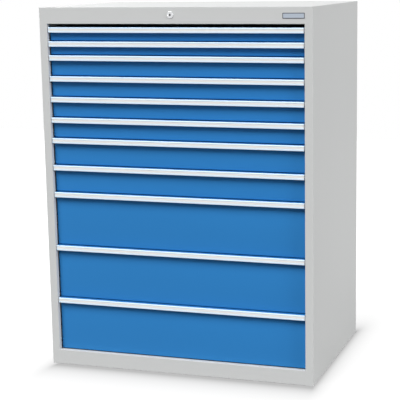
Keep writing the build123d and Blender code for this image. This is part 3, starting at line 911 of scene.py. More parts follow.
@dataclass
class GripStrip(DrawerShare):
    """Full-width aluminium grip of one drawer, with its label card and end caps."""

    nose: float = 4.5 * MM
    nose_drop: float = 0.9 * MM
    web: float = 3.0 * MM
    step: float = 1.8 * MM
    flange: float = 2.0 * MM
    foot_flange: float = 15.0 * MM
    edge_round: float = 1.6 * MM
    foot_round: float = 0.9 * MM
    label_drop: float = 5.2 * MM
    label_height: float = 9.0 * MM
    label_depth: float = 1.2 * MM
    lip: float = 0.5 * MM
    lip_sheet: float = 0.5 * MM
    small_round: float = 0.35 * MM
    cap: float = 1.5 * MM
    card_ends: Pair = (4.0 * MM, 2.0 * MM)
    card_sheet: float = 0.35 * MM
    card_play: Pair = (0.05 * MM, 0.2 * MM)
    card_bow: float = 0.25 * MM
    rib_pitch: float = 1.6 * MM
    rib_depth: float = 0.35 * MM
    rib_ends: Pair = (2.0 * MM, 3.0 * MM)

    def section(self, low: np.ndarray, high: np.ndarray, plain: bool = False) -> np.ndarray:
        """Section of the strip as points (y, z).

        The front carries a groove whose lips hold the card, the back of the web has shallow ribs for the
        fingers, and the outer corners are rounded. A plain section has neither groove nor ribs.

        Args:
            low: Lowest corner of the strip.
            high: Its highest corner.
            plain: Whether the section is plain, as the caps' is.

        Returns:
            An array of points.
        """
        depth, height = high[1] - low[1], high[2] - low[2]
        top, foot = -self.label_drop, -self.label_drop - self.label_height
        under, s = -self.step - self.flange, self.small_round
        groove = [
            ((0.0, foot + self.lip), s / 2), ((self.lip_sheet, foot + self.lip), 0.0), ((self.lip_sheet, foot), 0.0),
            ((self.label_depth, foot), 0.0), ((self.label_depth, top), 0.0), ((self.lip_sheet, top), 0.0),
            ((self.lip_sheet, top - self.lip), 0.0), ((0.0, top - self.lip), s / 2),
        ]
        quarter = self.rib_pitch / 4
        comb = [
            ((self.web - cut, rib + shift), 0.0)
            for rib in np.arange(under - self.rib_ends[0], -height + self.rib_ends[1], -self.rib_pitch)
            for cut, shift in ((0.0, quarter), (self.rib_depth, 0.0), (0.0, -quarter))
        ]
        corners = [
            ((0.0, -height), self.foot_round), *([] if plain else groove), ((0.0, -self.nose_drop), self.edge_round),
            ((self.nose, -self.nose_drop), s), ((self.nose, -self.step), s), ((depth, -self.step), s),
            ((depth, -self.foot_flange), s), ((depth - self.flange, -self.foot_flange), s),
            ((depth - self.flange, under), s), ((self.web, under), s), *([] if plain else comb),
            ((self.web, -height), self.web / 3),
        ]
        return round_corners(corners, 5)[::-1] + np.array((low[1], high[2]))

    def build(self) -> None:
        """Makes the strip in place of its CAD node, then its card and the caps that close its ends."""
        low, high = self.node_box("grip")
        left, right = low[0], high[0]
        strip = Shell().bar(self.section(low, high), Run.X, (left + self.cap, right - self.cap))
        self.add_piece("grip_strip", strip, ANODISED, Slot.GRIP, "grip")
        ends = (left + self.card_ends[0], right - self.card_ends[1])
        card = Shell().bar(self.card_line(low[1], high[2]), Run.X, ends)
        self.add_piece("label_card", card, LABEL_CARD, Slot.GRIP)
        outline = self.section(low, high, plain=True)
        for side, start in ((Side.LEFT, left), (Side.RIGHT, right - self.cap)):
            cap = Shell().bar(outline, Run.X, (start, start + self.cap))
            self.add_piece(f"grip_cap_{side.name.lower()}", cap, CAP_PLASTIC, Slot.GRIP)

    def card_line(self, face: float, top: float) -> np.ndarray:
        """Section of the bare label card, held by the groove's lips, slightly bowed outwards between them.

        Its front lies at seat - card_bow * (1 - t * t), with t from -1 to 1 over its height.

        Args:
            face: The strip's face along y.
            top: The strip's top.

        Returns:
            An array of points (y, z).
        """
        t = np.linspace(-1, 1, 7)
        middle = top - self.label_drop - self.label_height / 2
        half = self.label_height / 2 - self.card_play[1]
        seat = face + self.label_depth - self.card_sheet - self.card_play[0]
        front = np.column_stack((seat - self.card_bow * (1 - t**2), middle + half * t))
        return np.vstack((front, front[::-1] + np.array((self.card_sheet, 0.0))))[::-1]


@dataclass
class FrontPan(DrawerShare):
    """Painted front of one drawer: a folded pan, open at its back, with every edge bent round."""

    sheet: float = 1.2 * MM
    bend: float = 2.6 * MM
    corner: float = 3.0 * MM
    least_corner: float = 0.3 * MM
    inner_bend: float = 1.4 * MM
    lip_reach: float = 13.8 * MM
    lip_drop: Pair = (1.8 * MM, 0.6 * MM)
    lip_round: float = 0.55 * MM
    lip_side: float = 2.0 * MM
    sill_gap: Pair = (0.7 * MM, 5.0 * MM)

    def build(self) -> None:
        """Makes the pan in place of its CAD node.

        Each ring is the outline set in by an amount at some depth. The rings run from the inner face over the
        flanges' rims to the outer bend, where inset = r * (1 - cos t) and depth = r * (1 - sin t). The lowest
        front, the one within reach of the sill, comes down to a narrow gap over it.
        """
        low, high = self.node_box("front")
        sill = box_of("front_sill")[1][2]
        if low[2] - sill < self.sill_gap[1]:
            low[2] = sill + self.sill_gap[0]
        depth = high[1] - low[1]
        inner = self.sheet + self.inner_bend - arc((0.0, 0.0), self.inner_bend, 90, 0, 3)
        outer = self.bend - arc((0.0, 0.0), self.bend, 0, 90, 5)
        rings = [*inner, (self.sheet, depth), (0.0, depth), *outer]
        shell = Shell().rings([(self.outline(low, high, inset), low[1] + back) for inset, back in rings])
        size = shell.count // len(rings)
        shell.lid(0, size).lid(shell.count - size, size, turned=True)
        self.add_piece("front_pan", shell, BLUE_PAINT, Slot.FRONT, "front")
        self.add_lip(low[1])

    def add_lip(self, face: float) -> None:
        """Adds the lip of the sheet that lies forwards on the grip's flange, with a rounded front edge.

        Args:
            face: The front's face along y.
        """
        low, high = self.node_box("grip")
        heights = (high[2] - self.lip_drop[0], high[2] - self.lip_drop[1])
        outline = rounded_box((face - self.lip_reach, face + self.sheet / 2), heights, self.lip_round, 3)
        lip = Shell().bar(outline, Run.X, (low[0] + self.lip_side, high[0] - self.lip_side))
        self.add_piece("front_lip", lip, BLUE_PAINT, Slot.FRONT)

    def outline(self, low: np.ndarray, high: np.ndarray, inset: float) -> np.ndarray:
        """The pan's rounded outline (x, z), set in on all sides from its lowest and highest corner."""
        u, v = ((low[axis] + inset, high[axis] - inset) for axis in (0, 2))
        return rounded_box(u, v, max(self.corner - inset, self.least_corner))


@dataclass(frozen=True)
class SlideSizes:
    """Sizes that the drawer's channels and its carriage share, for the right-hand side."""

    tray_half: float = 453.0 * MM
    channel_tip: float = 463.75 * MM
    channel_rise: float = 10.0 * MM
    channel_height: float = 21.6 * MM
    channel_sheet: float = 1.5 * MM
    bar: Pair = (464.75 * MM, 467.75 * MM)
    bar_height: float = 14.0 * MM
    bar_y: Pair = (-315.0 * MM, 245.0 * MM)
    roller_width: float = 9.5 * MM
    roller_radius: float = 9.0 * MM
    roller_y: Pair = (-300.0 * MM, 15.0 * MM)
    glide_y: tuple[Pair, Pair] = ((-96.0 * MM, -70.0 * MM), (219.0 * MM, 245.0 * MM))


@dataclass
class Tray(DrawerShare):
    """Folded tray of one drawer: slotted walls, rolled rim, slide channels and the catch at its back."""

    slides: SlideSizes = SlideSizes()
    front: float = -318.0 * MM
    rear: float = 288.0 * MM
    foot_gap: float = 4.0 * MM
    sheet: float = 1.2 * MM
    bend: float = 3.2 * MM
    rim: Pair = (3.0 * MM, 6.0 * MM)
    rim_round: float = 1.3 * MM
    slot: Pair = (2.6 * MM, 9.0 * MM)
    slot_pitch: float = 50.0 / 3.0 * MM
    slot_margin: float = 18.0 * MM
    first_row: float = 16.0 * MM
    row_pitch: float = 100.0 / 3.0 * MM
    channel_rounds: Triple = (0.4 * MM, 0.6 * MM, 2.0 * MM)
    catch_x: Pair = (-16.0 * MM, 8.0 * MM)
    catch_reach: float = 24.0 * MM
    catch_drop: float = 6.0 * MM
    catch_sheet: float = 2.0 * MM
    catch_round: float = 1.1 * MM
    lug_x: Pair = (-8.0 * MM, 0.0)
    lug_y: Pair = (303.0 * MM, 311.0 * MM)
    lug_height: float = 14.5 * MM
    lug_round: float = 1.5 * MM
    lug_bite: float = 0.5 * MM
    rivet_place: float = 8.0 * MM
    rivet_head: tuple[Pair, ...] = ((0.0, 3.2), (0.5, 3.1), (1.0, 2.4), (1.2, 1.2), (1.3, 0.2))
    corner_steps: int = 4

    def wall_line(self) -> tuple[np.ndarray, np.ndarray, np.ndarray]:
        """Line round the tray's outside, with two places at every slot and a quarter circle at every corner.

        Along a wall the slots' middles lie one pitch apart, evenly on both sides of the wall's middle.

        Returns:
            The places (x, y), the outward direction at each, and whether the stretch after each is a slot.
        """
        half, front, rear, r = self.slides.tray_half, self.front, self.rear, self.bend
        walls = (
            ((-half + r, front), (half - r, front), (half - r, front + r)),
            ((half, front + r), (half, rear - r), (half - r, rear - r)),
            ((half - r, rear), (-half + r, rear), (-half + r, rear - r)),
            ((-half, rear - r), (-half, front + r), (-half + r, front + r)),
        )
        places, outward, slotted = [], [], []
        for turn, (start, end, centre) in enumerate(walls):
            run = np.subtract(end, start)
            length = np.linalg.norm(run)
            count = int((length - 2 * self.slot_margin) // self.slot_pitch) + 1
            middles = (np.arange(count) - (count - 1) / 2) * self.slot_pitch + length / 2
            edges = (middles[:, None] + np.array((-self.slot[0] / 2, self.slot[0] / 2))).ravel()
            along = np.concatenate(((0.0,), edges, (length,)))
            bend = arc((0.0, 0.0), 1.0, 90 * turn - 90, 90 * turn, self.corner_steps)[1:-1]
            places += [np.array(start) + along[:, None] * run / length, np.array(centre) + r * bend]
            outward += [np.broadcast_to(np.array((run[1], -run[0])) / length, (len(along), 2)), bend]
            slotted += [(np.arange(len(along)) % 2 == 1) & (along < length), np.zeros(len(bend), bool)]
        return np.vstack(places), np.vstack(outward), np.concatenate(slotted)

    def build(self) -> None:
        """Makes the tray's pieces in place of its CAD node."""
        foot, top = (corner[2] for corner in self.node_box("tray"))
        self.add_sheet(foot, top)
        self.add_rim(top)
        self.add_channels(foot)
        self.add_catch(top)

    def add_sheet(self, foot: float, top: float) -> None:
        """Adds floor and walls as one sheet.

        Each row is the wall's line moved inwards by inset at some height; in the bend inset = r * (1 - sin t) and
        height = r * (1 - cos t). The faces where a slotted stretch meets a slotted row are left out.

        Args:
            foot: Underside of the tray.
            top: Top of its rim.
        """
        places, outward, slotted = self.wall_line()
        turns = np.radians(np.linspace(0, 90, self.corner_steps + 1))
        rows = [(self.bend * (1 - math.sin(t)), foot + self.bend * (1 - math.cos(t)), False) for t in turns]
        wall_top, half_slot = top - self.rim[1] / 2, self.slot[1] / 2
        middle = foot + self.first_row
        while middle + self.slot[1] < wall_top:
            rows += [(0.0, middle - half_slot, True), (0.0, middle + half_slot, False)]
            middle += self.row_pitch
        rows.append((0.0, wall_top, False))
        levels = [np.column_stack((places - inset * outward, np.full(len(places), z))) for inset, z, _ in rows]
        holes = np.array([row[2] for row in rows[:-1]])[:, None] & slotted[None, :]
        shell = Shell().grid(np.stack(levels), closed_columns=True, keep=~holes).lid(0, len(places))
        self.add_piece("tray_sheet", shell, TRAY_PAINT, Slot.TRAY, "tray", self.sheet)

    def add_rim(self, top: float) -> None:
        """Adds the rolled rim, carried round the walls' line.

        Args:
            top: Top of the rim.
        """
        places, outward, _ = self.wall_line()
        turns = np.abs(np.sum(outward * np.roll(outward, 1, 0), 1) - 1) > 1e-9
        bends = turns | np.roll(turns, -1)
        profile = rounded_box((-self.rim[0], 0.0), (-self.rim[1], 0.0), self.rim_round)
        origins = np.column_stack((places[bends], np.full(bends.sum(), top)))
        across = np.column_stack((outward[bends], np.zeros(bends.sum())))
        rim = Shell().carry(profile, origins, across, np.array((0.0, 0.0, 1.0)), closed_path=True)
        self.add_piece("tray_rim", rim, TRAY_PAINT, Slot.TRAY)

    def add_channels(self, foot: float) -> None:
        """Adds the slide channels at both sides, open towards the cabinet.

        Args:
            foot: Underside of the tray.
        """
        s = self.slides
        low = foot + s.channel_rise - self.foot_gap
        high = low + s.channel_height
        web, tip, t = s.tray_half, s.channel_tip, s.channel_sheet
        edge, fold, back = self.channel_rounds
        outline = round_corners([
            ((tip, low), edge), ((tip, low + t), edge), ((web + t, low + t), fold), ((web + t, high - t), fold),
            ((tip, high - t), edge), ((tip, high), edge), ((web, high), back), ((web, low), back),
        ])
        channels = Shell().bar(outline, Run.Y, (self.front, self.rear)).doubled()
        self.add_piece("slide_channels", channels, ZINC, Slot.ZINC)

    def add_catch(self, top: float) -> None:
        """Adds the catch that the locking bar holds: a plate with rounded corners, a lug and two rivets.

        Args:
            top: Top of the tray's rim.
        """
        high = top - self.catch_drop
        low = high - self.catch_sheet
        plate = rounded_box(self.catch_x, (self.rear - self.sheet, self.rear + self.catch_reach), self.catch_round)
        lug = rounded_box(self.lug_x, self.lug_y, self.lug_round)
        shell = Shell().bar(plate, Run.Z, (low, high)).bar(lug, Run.Z, (low - self.lug_height, low + self.lug_bite))
        for side in Side:
            x = float(np.mean(self.catch_x)) + side.value * self.rivet_place
            shell.turn(np.array(self.rivet_head) * MM, (x, self.rear + self.rivet_place, high), (0, 0, 1), 20)
        self.add_piece("catch", shell, ZINC, Slot.ZINC)


@dataclass
class Carriage(DrawerShare):
    """Runner carriages of one drawer: a bar at each side with a load roller and a glide on both faces."""

    slides: SlideSizes = SlideSizes()
    end_share: float = 0.96
    roller_steps: int = 28
    rivet_steps: int = 20
    rivet_line: tuple[Pair, ...] = ((-0.2, 3.4), (0.3, 3.3), (0.6, 2.6), (0.7, 0.3))
    roller_play: float = 0.05 * MM
    glide_from: float = 2.0 * MM
    glide_edge: Pair = (0.6 * MM, 0.8 * MM)
    pad_from: float = 0.1 * MM
    pad_reach: float = 2.5 * MM
    pad_inset: float = 2.0 * MM

    @property
    def body(self) -> str:
        """Name of the body of both carriages."""
        return f"runners_{self.number:02d}"

    def build(self) -> None:
        """Makes bars, rollers and glides in place of the CAD node."""
        s = self.slides
        middle = self.node_box("front")[0][2] + s.channel_rise + s.channel_height / 2
        bars, rollers, glides = Shell(), Shell(), Shell()
        end = s.bar_height / 2
        bars.bar(rounded_box(s.bar_y, (middle - end, middle + end), end * self.end_share, 6), Run.X, s.bar)
        rivet = np.array(self.rivet_line) * MM
        for x, outwards, roller_y, glide_y in zip(s.bar, (-1.0, 1.0), s.roller_y, s.glide_y):
            rollers.turn(self.roller_line(), (x, roller_y, middle), (outwards, 0, 0), self.roller_steps)
            for y in (roller_y, float(np.mean(glide_y))):
                bars.turn(rivet, (x, y, middle), (-outwards, 0, 0), self.rivet_steps)
            self.add_glide(glides, x, outwards, glide_y, middle)
        self.add_piece("carriage_bars", bars.doubled(), ZINC, Slot.ZINC, "runners")
        self.add_piece("carriage_rollers", rollers.doubled(), ROLLER_STEEL, Slot.ZINC)
        self.add_piece("carriage_glides", glides.doubled(), GLIDE_PLASTIC, Slot.ZINC)

    def roller_line(self) -> np.ndarray:
        """Half section of a roller: a ground tyre with soft edges, a groove beside it and a riveted hub.

        Returns:
            An array of points (along, radius).
        """
        w, r = self.slides.roller_width / MM, (self.slides.roller_radius - self.roller_play) / MM
        points = [
            (0.3, 4.0), (0.3, 5.4), (1.0, 5.6), (1.0, 7.2), (0.9, r - 0.7), (1.2, r - 0.2), (1.9, r), (w - 1.4, r),
            (w - 0.7, r - 0.2), (w - 0.4, r - 0.7), (w - 0.5, 7.0), (w - 1.3, 6.8), (w - 1.3, 4.6), (w - 0.6, 4.4),
            (w - 0.2, 3.6), (w - 0.1, 2.4), (w - 0.05, 0.4),
        ]
        return np.array(points) * MM

    def add_glide(self, shell: Shell, x: float, outwards: float, y: Pair, middle: float) -> None:
        """Adds a moulded glide: a lozenge with rounded ends and a soft edge, on a smaller pad on the bar.

        Args:
            shell: Where it is added.
            x: Face of the bar that it sits on.
            outwards: Which way it stands out.
            y: Where it starts and ends.
            middle: Its height above the floor.
        """
        r, w = self.slides.roller_radius, self.slides.roller_width
        inset, edge = self.glide_edge
        for start, reach, half in (
            (self.glide_from, w, r - self.roller_play), (self.pad_from, self.pad_reach, r - self.pad_inset),
        ):
            for cut, span in ((0.0, (start, reach - edge)), (inset, (reach - edge, reach))):
                rise = half - cut
                outline = rounded_box((y[0] + cut, y[1] - cut), (middle - rise, middle + rise), rise / 2, 5)
                shell.bar(outline, Run.X, sorted(x + outwards * place for place in span))


@dataclass
class NamePlate:
    """Bare name plate at the top rail's right end: a dark rim round a plain field."""

    bench: Bench
    left: float = 400.0 * MM
    right: float = 477.8 * MM
    foot: float = 1286.0 * MM
    top: float = 1305.6 * MM
    rim_width: float = 2.7 * MM
    rim_height: float = 1.0 * MM
    rim_steps: tuple[Pair, ...] = ((0, 0), (0, 0.7), (0.08, 1), (0.92, 1), (1, 0.7), (1, 0))
    field_height: float = 0.6 * MM
    corner: float = 2.0 * MM

    def build(self) -> None:
        """Makes the rim and the field on the top rail's face."""
        face, w = box_of("front_top_rail")[0][1], self.rim_width
        outer = rounded_box((self.left, self.right), (self.foot, self.top), self.corner)
        inner = rounded_box((self.left + w, self.right - w), (self.foot + w, self.top - w), self.corner / 2)
        rim = Shell().ledge(outer, inner, face, self.rim_height, self.rim_steps)
        self.bench.piece("name_plate_rim", rim, CABINET, PLATE_RIM, Slot.CARCASS)
        plate = Shell().bar(inner, Run.Y, (face, face - self.field_height))
        self.bench.piece("name_plate_field", plate, CABINET, PLATE_FIELD, Slot.GRIP)


@dataclass
class CentralLock:
    """Cylinder lock in the top rail, with the bar that holds the drawers."""

    bench: Bench
    axis: Pair = (-4.0 * MM, 1299.0 * MM)
    plug_body: str = "lock_cylinder"
    flange_radius: float = 12.0 * MM
    flange_depth: float = 2.5 * MM
    flange_round: float = 0.9 * MM
    flange_dish: tuple[Pair, ...] = ((0.0, -2.2), (0.22, -2.8), (0.22, -3.6), (0.1, -4.1))
    body_radius: float = 9.5 * MM
    body_length: float = 26.0 * MM
    bore: float = 7.54 * MM
    bore_start: float = 0.5 * MM
    neck: float = 0.3 * MM
    thread_ends: Pair = (0.6 * MM, 0.4 * MM)
    thread_step: float = 0.25 * MM
    thread_pitch: float = 1.0 * MM
    thread_depth: float = 0.55 * MM
    nut_width: float = 26.0 * MM
    nut_bore: float = 9.6 * MM
    nut_cone: float = 0.97
    nut_steps: Triple = (0.0, 0.4 * MM, 0.9 * MM)
    keyway: Pair = (2.1 * MM, 7.9 * MM)
    keyway_round: float = 0.4 * MM
    keyway_sunk: float = 0.12 * MM
    keyway_depth: float = 11.5 * MM
    keyway_sheet: float = 0.3 * MM
    keyway_steps: int = 3
    ward_height: float = 1.2 * MM
    ward_reach: float = 0.9
    ward_gap: float = 0.1 * MM
    ward_round: float = 0.2 * MM
    ward_places: tuple[Pair, Pair] = ((-1, 1.1 * MM), (1, -1.4 * MM))
    ward_end: float = 0.5 * MM
    mouth: Triple = (5.2 * MM, 8.8 * MM, 2.5 * MM)
    mouth_rise: float = 0.22 * MM
    mouth_steps: tuple[Pair, ...] = ((0, 0), (0, 0.6), (0.08, 1), (1, 1), (1, 0))
    steps: int = 72

    def build(self) -> None:
        """Makes the housing and the nut, lines the keyway and dresses the other CAD nodes."""
        self.add_housing()
        self.add_nut()
        self.add_keyway()
        self.add_mouth()
        self.bench.dress(["lock_plug"], CHROME)
        self.bench.dress(["lock_shaft"], DRAWN_STEEL)
        self.bench.dress(["lock_bar", "lock_brackets"], ZINC)

    def add_housing(self) -> None:
        """Turns the housing: a flange with a rolled edge and a dished rim, and a threaded body behind the rail.

        Over the body the radius is body_radius - thread_depth * |2 * f - 1|, with f the fraction of
        along / thread_pitch - turn, so that the crest climbs one pitch in each turn.
        """
        face, root, roll = self.flange_depth, self.body_radius - self.thread_depth, self.flange_round
        along = np.arange(self.thread_ends[0], self.body_length - self.thread_ends[1], self.thread_step)
        turn = np.arange(self.steps) / self.steps
        wave = np.abs(2 * np.mod(along[:, None] / self.thread_pitch - turn[None], 1.0) - 1)
        rows = [
            self.even(arc((roll - face, self.flange_radius - roll), roll, 90, 180, 5)),
            self.even(np.array(self.flange_dish) * MM + np.array((-face, self.flange_radius))),
            self.even([(self.bore_start - face, self.bore), (self.body_length, self.bore), (self.body_length, root)]),
            np.column_stack((along, self.body_radius - self.thread_depth * wave))[::-1],
            self.even([(self.neck, root), (0.0, root), (0.0, self.flange_radius)]),
        ]
        centre = (self.axis[0], box_of("front_top_rail")[0][1], self.axis[1])
        shell = Shell().turn(np.vstack(rows), centre, (0, 1, 0), self.steps, ring=True)
        self.bench.piece("lock_housing_turned", shell, CABINET, CHROME, Slot.CHROME, ["lock_housing"])

    def even(self, points: Sequence[Pair] | np.ndarray) -> np.ndarray:
        """Rows for points (along, radius) whose radius is the same all the way round."""
        part = np.array(points)
        return np.column_stack((part[:, 0], np.repeat(part[:, 1:], self.steps, axis=1)))

    def add_nut(self) -> None:
        """Adds the hexagonal nut, its corners taken off by a cone at both faces.

        The radius is the smaller of two: the flat's, width / 2 / cos(t) with t from the middle of the nearest
        flat, and the cone's, width / 2 * nut_cone + d * tan(60 degrees) with d from the nearer face.
        """
        low, high = box_of("lock_nut")
        thick, half = high[1] - low[1], self.nut_width / 2
        angle = np.arange(self.steps) / self.steps * 360
        flat = half / np.cos(np.radians(np.mod(angle, 60) - 30))
        depths = np.array((*self.nut_steps, *(thick - step for step in self.nut_steps[::-1])))
        cone = half * self.nut_cone + np.minimum(depths, thick - depths) * math.tan(math.radians(60))
        sides = np.column_stack((depths, np.minimum(flat[None], cone[:, None])))
        rows = np.vstack((self.even([(0.0, self.nut_bore)]), sides, self.even([(thick, self.nut_bore)])))
        shell = Shell().turn(rows, (self.axis[0], low[1], self.axis[1]), (0, 1, 0), self.steps, ring=True)
        self.bench.piece("lock_nut_hexagon", shell, CABINET, ZINC, Slot.STEEL, ["lock_nut"])

    def upright_box(self, size: Sequence[float], radius: float, steps: int = 4) -> np.ndarray:
        """Rounded outline (x, z) of some width and height, centred on the lock's axis."""
        (x, z), (half, rise) = self.axis, (size[0] / 2, size[1] / 2)
        return rounded_box((x - half, x + half), (z - rise, z + rise), radius, steps)

    def add_keyway(self) -> None:
        """Lines the keyway with a near-black sheet, painted shade for the dark inside of the keyhole, and sets two
        wards into it, one at each side, in the same painted shade.
        """
        x, z = self.axis
        half, rise = self.keyway[0] / 2, self.ward_height / 2
        face = box_of("lock_plug")[0][1] + self.keyway_sunk
        end = face + self.keyway_depth
        outline = self.upright_box(self.keyway, self.keyway_round, self.keyway_steps)
        shell = Shell().rings([(outline, face), (outline, end)]).lid(len(outline), len(outline))
        self.bench.piece("lock_keyway_shade_lining", shell, self.plug_body, KEYWAY_SHADE, Slot.STEEL,
                         sheet=self.keyway_sheet)
        wards = Shell()
        for side, height in self.ward_places:
            u = sorted((x + side * half * self.ward_reach, x + side * self.ward_gap))
            v = (z + height - rise, z + height + rise)
            ward = rounded_box(u, v, self.ward_round, self.keyway_steps)
            wards.bar(ward, Run.Y, (face + self.ward_end, end - self.ward_end))
        self.bench.piece("lock_keyway_wards", wards, self.plug_body, KEYWAY_SHADE, Slot.STEEL)

    def add_mouth(self) -> None:
        """Adds a near-black oval plate round the keyway on the plug's face, open in the middle for the key: painted
        shade that widens the keyhole's dark spot.
        """
        outer = self.upright_box(self.mouth, self.mouth[2])
        inner = self.upright_box(self.keyway, self.keyway_round)
        plate = Shell().ledge(outer, inner, box_of("lock_plug")[0][1], self.mouth_rise, self.mouth_steps)
        self.bench.piece("lock_keyway_shade_mouth", plate, self.plug_body, KEYWAY_SHADE, Slot.STEEL)


# Studio


@dataclass(frozen=True)
class Lamp:
    """A soft lamp far away: its bearing (0 in front, 90 to the right) and height in degrees, its width, its light.

    A light of 1 makes a matt surface that faces the lamp as bright as its colour.
    """

    name: str
    bearing: float
    elevation: float
    width: float
    light: float
    distance: float = 6.0

    def build(self) -> None:
        """Makes the lamp, turned to the middle of the floor."""
        turn, rise = math.radians(self.bearing), math.radians(self.elevation)
        back = Vector((math.sin(turn) * math.cos(rise), -math.cos(turn) * math.cos(rise), math.sin(rise)))
        data = bpy.data.lights.new(self.name, "SUN")
        data.angle = math.radians(self.width)
        data.energy = math.pi * self.light
        lamp = put_in_scene(self.name, data)
        lamp.location = back * self.distance
        lamp.rotation_euler = (-back).to_track_quat("-Z", "Y").to_euler()
        log.info("%s: %.2f", self.name, self.light)


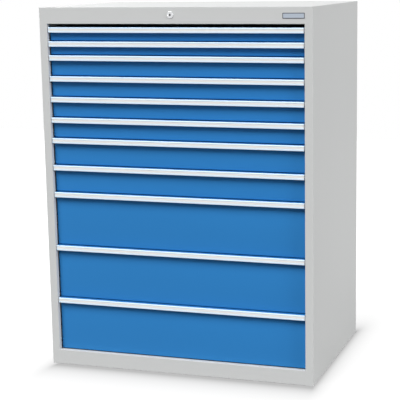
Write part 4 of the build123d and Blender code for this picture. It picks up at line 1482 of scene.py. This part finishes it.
@dataclass
class Studio:
    """White floor, soft lamps, white surroundings and the camera of the photograph."""

    frame_pixels: float = 400.0
    sensor: float = 36.0
    focal_pixels: float = 1230.7
    centre_pixels: Pair = (240.27, 200.09)
    camera_place: Triple = (1.531, -4.3821, 1.443)
    camera_turn: Triple = (79.487, 0.706, 17.5846)
    floor_half: float = 6.0
    floor_drop: float = 0.2 * MM
    world_light: float = 0.2
    world_colour: Triple = (0.98, 0.99, 1.0)
    floor_shade: float = 0.06
    floor_bounce: float = 0.16
    base_glow: float = 0.44
    # Painted shadow round the foot: the camera's glow is lowest at the footprint and rises outwards over these sizes,
    # and the far glow is painted light over the lamps' shadows further out.
    painted_shadow_lift: float = 0.488
    painted_far_light: float = 0.257
    painted_far_reach: Pair = (0.037, 0.333)
    painted_shadow_half: Pair = (0.4954, 0.3595)
    painted_shadow_centre: Pair = (0.0114, -0.0096)
    painted_shadow_reach: float = 0.0192
    painted_shadow_stretch: float = 2.8
    lamps: tuple[Lamp, ...] = (
        Lamp("front_light", -25.0, 49.0, 34.0, 1.085),
        Lamp("right_light", 78.0, 12.0, 30.0, 0.64),
        Lamp("rear_light", 227.0, 14.0, 40.0, 0.38),
    )

    def build(self) -> None:
        """Makes the camera, the lamps, the surroundings and the floor."""
        self.add_camera()
        self.add_world()
        self.add_floor()
        for lamp in self.lamps:
            lamp.build()

    def add_camera(self) -> None:
        """Makes the camera. Its shift puts the optical axis where the photograph's crop left it."""
        data = bpy.data.cameras.new("photo_camera")
        data.sensor_width = self.sensor
        data.lens = self.focal_pixels / self.frame_pixels * self.sensor
        data.shift_x = (self.frame_pixels / 2 - self.centre_pixels[0]) / self.frame_pixels
        data.shift_y = (self.centre_pixels[1] - self.frame_pixels / 2) / self.frame_pixels
        camera = put_in_scene("photo_camera", data)
        camera.location = self.camera_place
        camera.rotation_euler = [math.radians(angle) for angle in self.camera_turn]
        bpy.context.scene.camera = camera

    def seen_directly(self, w: Wiring) -> Socket:
        """1 for rays that see the surroundings as they are: from the camera, a mirror or clear plastic.

        A mirror that itself lights a matt surface doesn't count: its ray has a diffuse depth of 1 or more.

        Args:
            w: The tree that asks.

        Returns:
            The mask.
        """
        rays = w.node("ShaderNodeLightPath").outputs
        seen = w.maths("MAXIMUM", rays["Is Camera Ray"], rays["Is Glossy Ray"])
        seen = w.maths("MAXIMUM", seen, rays["Is Transmission Ray"])
        return w.maths("MULTIPLY", seen, w.maths("LESS_THAN", rays["Diffuse Depth"], 0.5))

    def add_world(self) -> None:
        """Surroundings: plain white where they are seen, and a weaker even light on the object."""
        world = bpy.data.worlds.new("white_studio")
        w = cleared(world)
        skies = []
        for colour, strength in ((self.world_colour, self.world_light), ((1.0, 1.0, 1.0), 1.0)):
            inputs = {"Color": (*colour, 1.0), "Strength": strength}
            skies.append(w.node("ShaderNodeBackground", inputs).outputs[0])
        mix = w.node("ShaderNodeMixShader", {0: self.seen_directly(w), 1: skies[0], 2: skies[1]})
        w.node("ShaderNodeOutputWorld", {"Surface": mix.outputs[0]})
        bpy.context.scene.world = world

    def add_floor(self) -> None:
        """Pale floor that keeps a faint real shadow of the object, with a shadow painted round its foot, and fades
        into the white surroundings further out.
        """
        line = np.linspace(-self.floor_half, self.floor_half, 3)
        x, y = np.meshgrid(line, line)
        shell = Shell().grid(np.stack((x, y, np.full_like(x, -self.floor_drop)), axis=-1))
        mesh = bpy.data.meshes.new("studio_floor")
        mesh.from_pydata(np.vstack(shell.points).tolist(), [], shell.faces)
        mesh.materials.append(self.floor_material())
        floor = put_in_scene("studio_floor", mesh)

    def floor_material(self) -> bpy.types.Material:
        """Matt pale floor that keeps a faint real shadow, with a glow for rays that see it directly that paints a
        shadow round the foot.

        With d the length of max(|place - centre| - half, 0), its y divided by painted_shadow_stretch, the camera sees
        a glow of base_glow + painted_shadow_lift * (1 - exp(-d / painted_shadow_reach)), lowest at the foot: a painted
        shadow.
        Up to painted_far_light more, which grows evenly between the distances of painted_far_reach, is painted light
        over the lamps' shadows further out. In a mirror the floor is plain white.

        Returns:
            The floor's material.
        """
        made = bpy.data.materials.new("studio_floor")
        w = cleared(made)
        way = w.node("ShaderNodeTexCoord").outputs["Object"]
        for operation, operand in (
            ("SUBTRACT", (*self.painted_shadow_centre, 0.0)), ("ABSOLUTE", (0.0, 0.0, 0.0)),
            ("SUBTRACT", (*self.painted_shadow_half, 0.0)), ("MAXIMUM", (0.0, 0.0, 0.0)),
            ("DIVIDE", (self.painted_shadow_reach, self.painted_shadow_reach * self.painted_shadow_stretch, 1.0)),
        ):
            way = w.node("ShaderNodeVectorMath", {0: way, 1: operand}, operation=operation).outputs[0]
        far = w.node("ShaderNodeVectorMath", {0: way}, operation="LENGTH").outputs["Value"]
        # A shadow painted round the foot: the glow is lowest there and rises outwards; the far part paints light over
        # the lamps' shadows further out.
        fall = w.maths("EXPONENT", w.maths("MULTIPLY", far, -1.0))
        near = w.maths("MULTIPLY", w.maths("SUBTRACT", 1.0, fall), self.painted_shadow_lift)
        start, end = (reach / self.painted_shadow_reach for reach in self.painted_far_reach)
        distant = w.spread(far, (start, 0.0), (end, self.painted_far_light))
        rise = w.maths("ADD", w.maths("ADD", near, distant), self.base_glow)
        camera = w.node("ShaderNodeLightPath").outputs["Is Camera Ray"]
        mirrored = w.maths("SUBTRACT", self.seen_directly(w), camera)
        glow = w.node("ShaderNodeEmission", {"Strength": w.maths("MULTIPLY_ADD", rise, camera, mirrored)})
        shade = w.spread(camera, (0.0, self.floor_bounce), (1.0, self.floor_shade))
        matt = w.node("ShaderNodeBsdfDiffuse", {"Color": shade})
        both = w.node("ShaderNodeAddShader", {0: matt.outputs[0], 1: glow.outputs[0]})
        w.node("ShaderNodeOutputMaterial", {"Surface": both.outputs[0]})
        return made


def main() -> None:
    """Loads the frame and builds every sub-assembly in order."""
    logging.basicConfig(level=logging.INFO, format="%(name)s %(message)s")
    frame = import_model()
    bench = Bench(frame["nodes"])
    Studio().build()
    Carcass(bench).build()
    count = sum(1 for body in frame["bodies"] if body.startswith("drawer_"))
    for number in range(1, count + 1):
        for share in (FrontPan, GripStrip, Tray, Carriage):
            share(bench, number).build()
    NamePlate(bench).build()
    CentralLock(bench).build()
    bpy.context.scene.view_settings.view_transform = "Standard"
    bpy.context.view_layer.update()


if __name__ == "__main__":
    main()
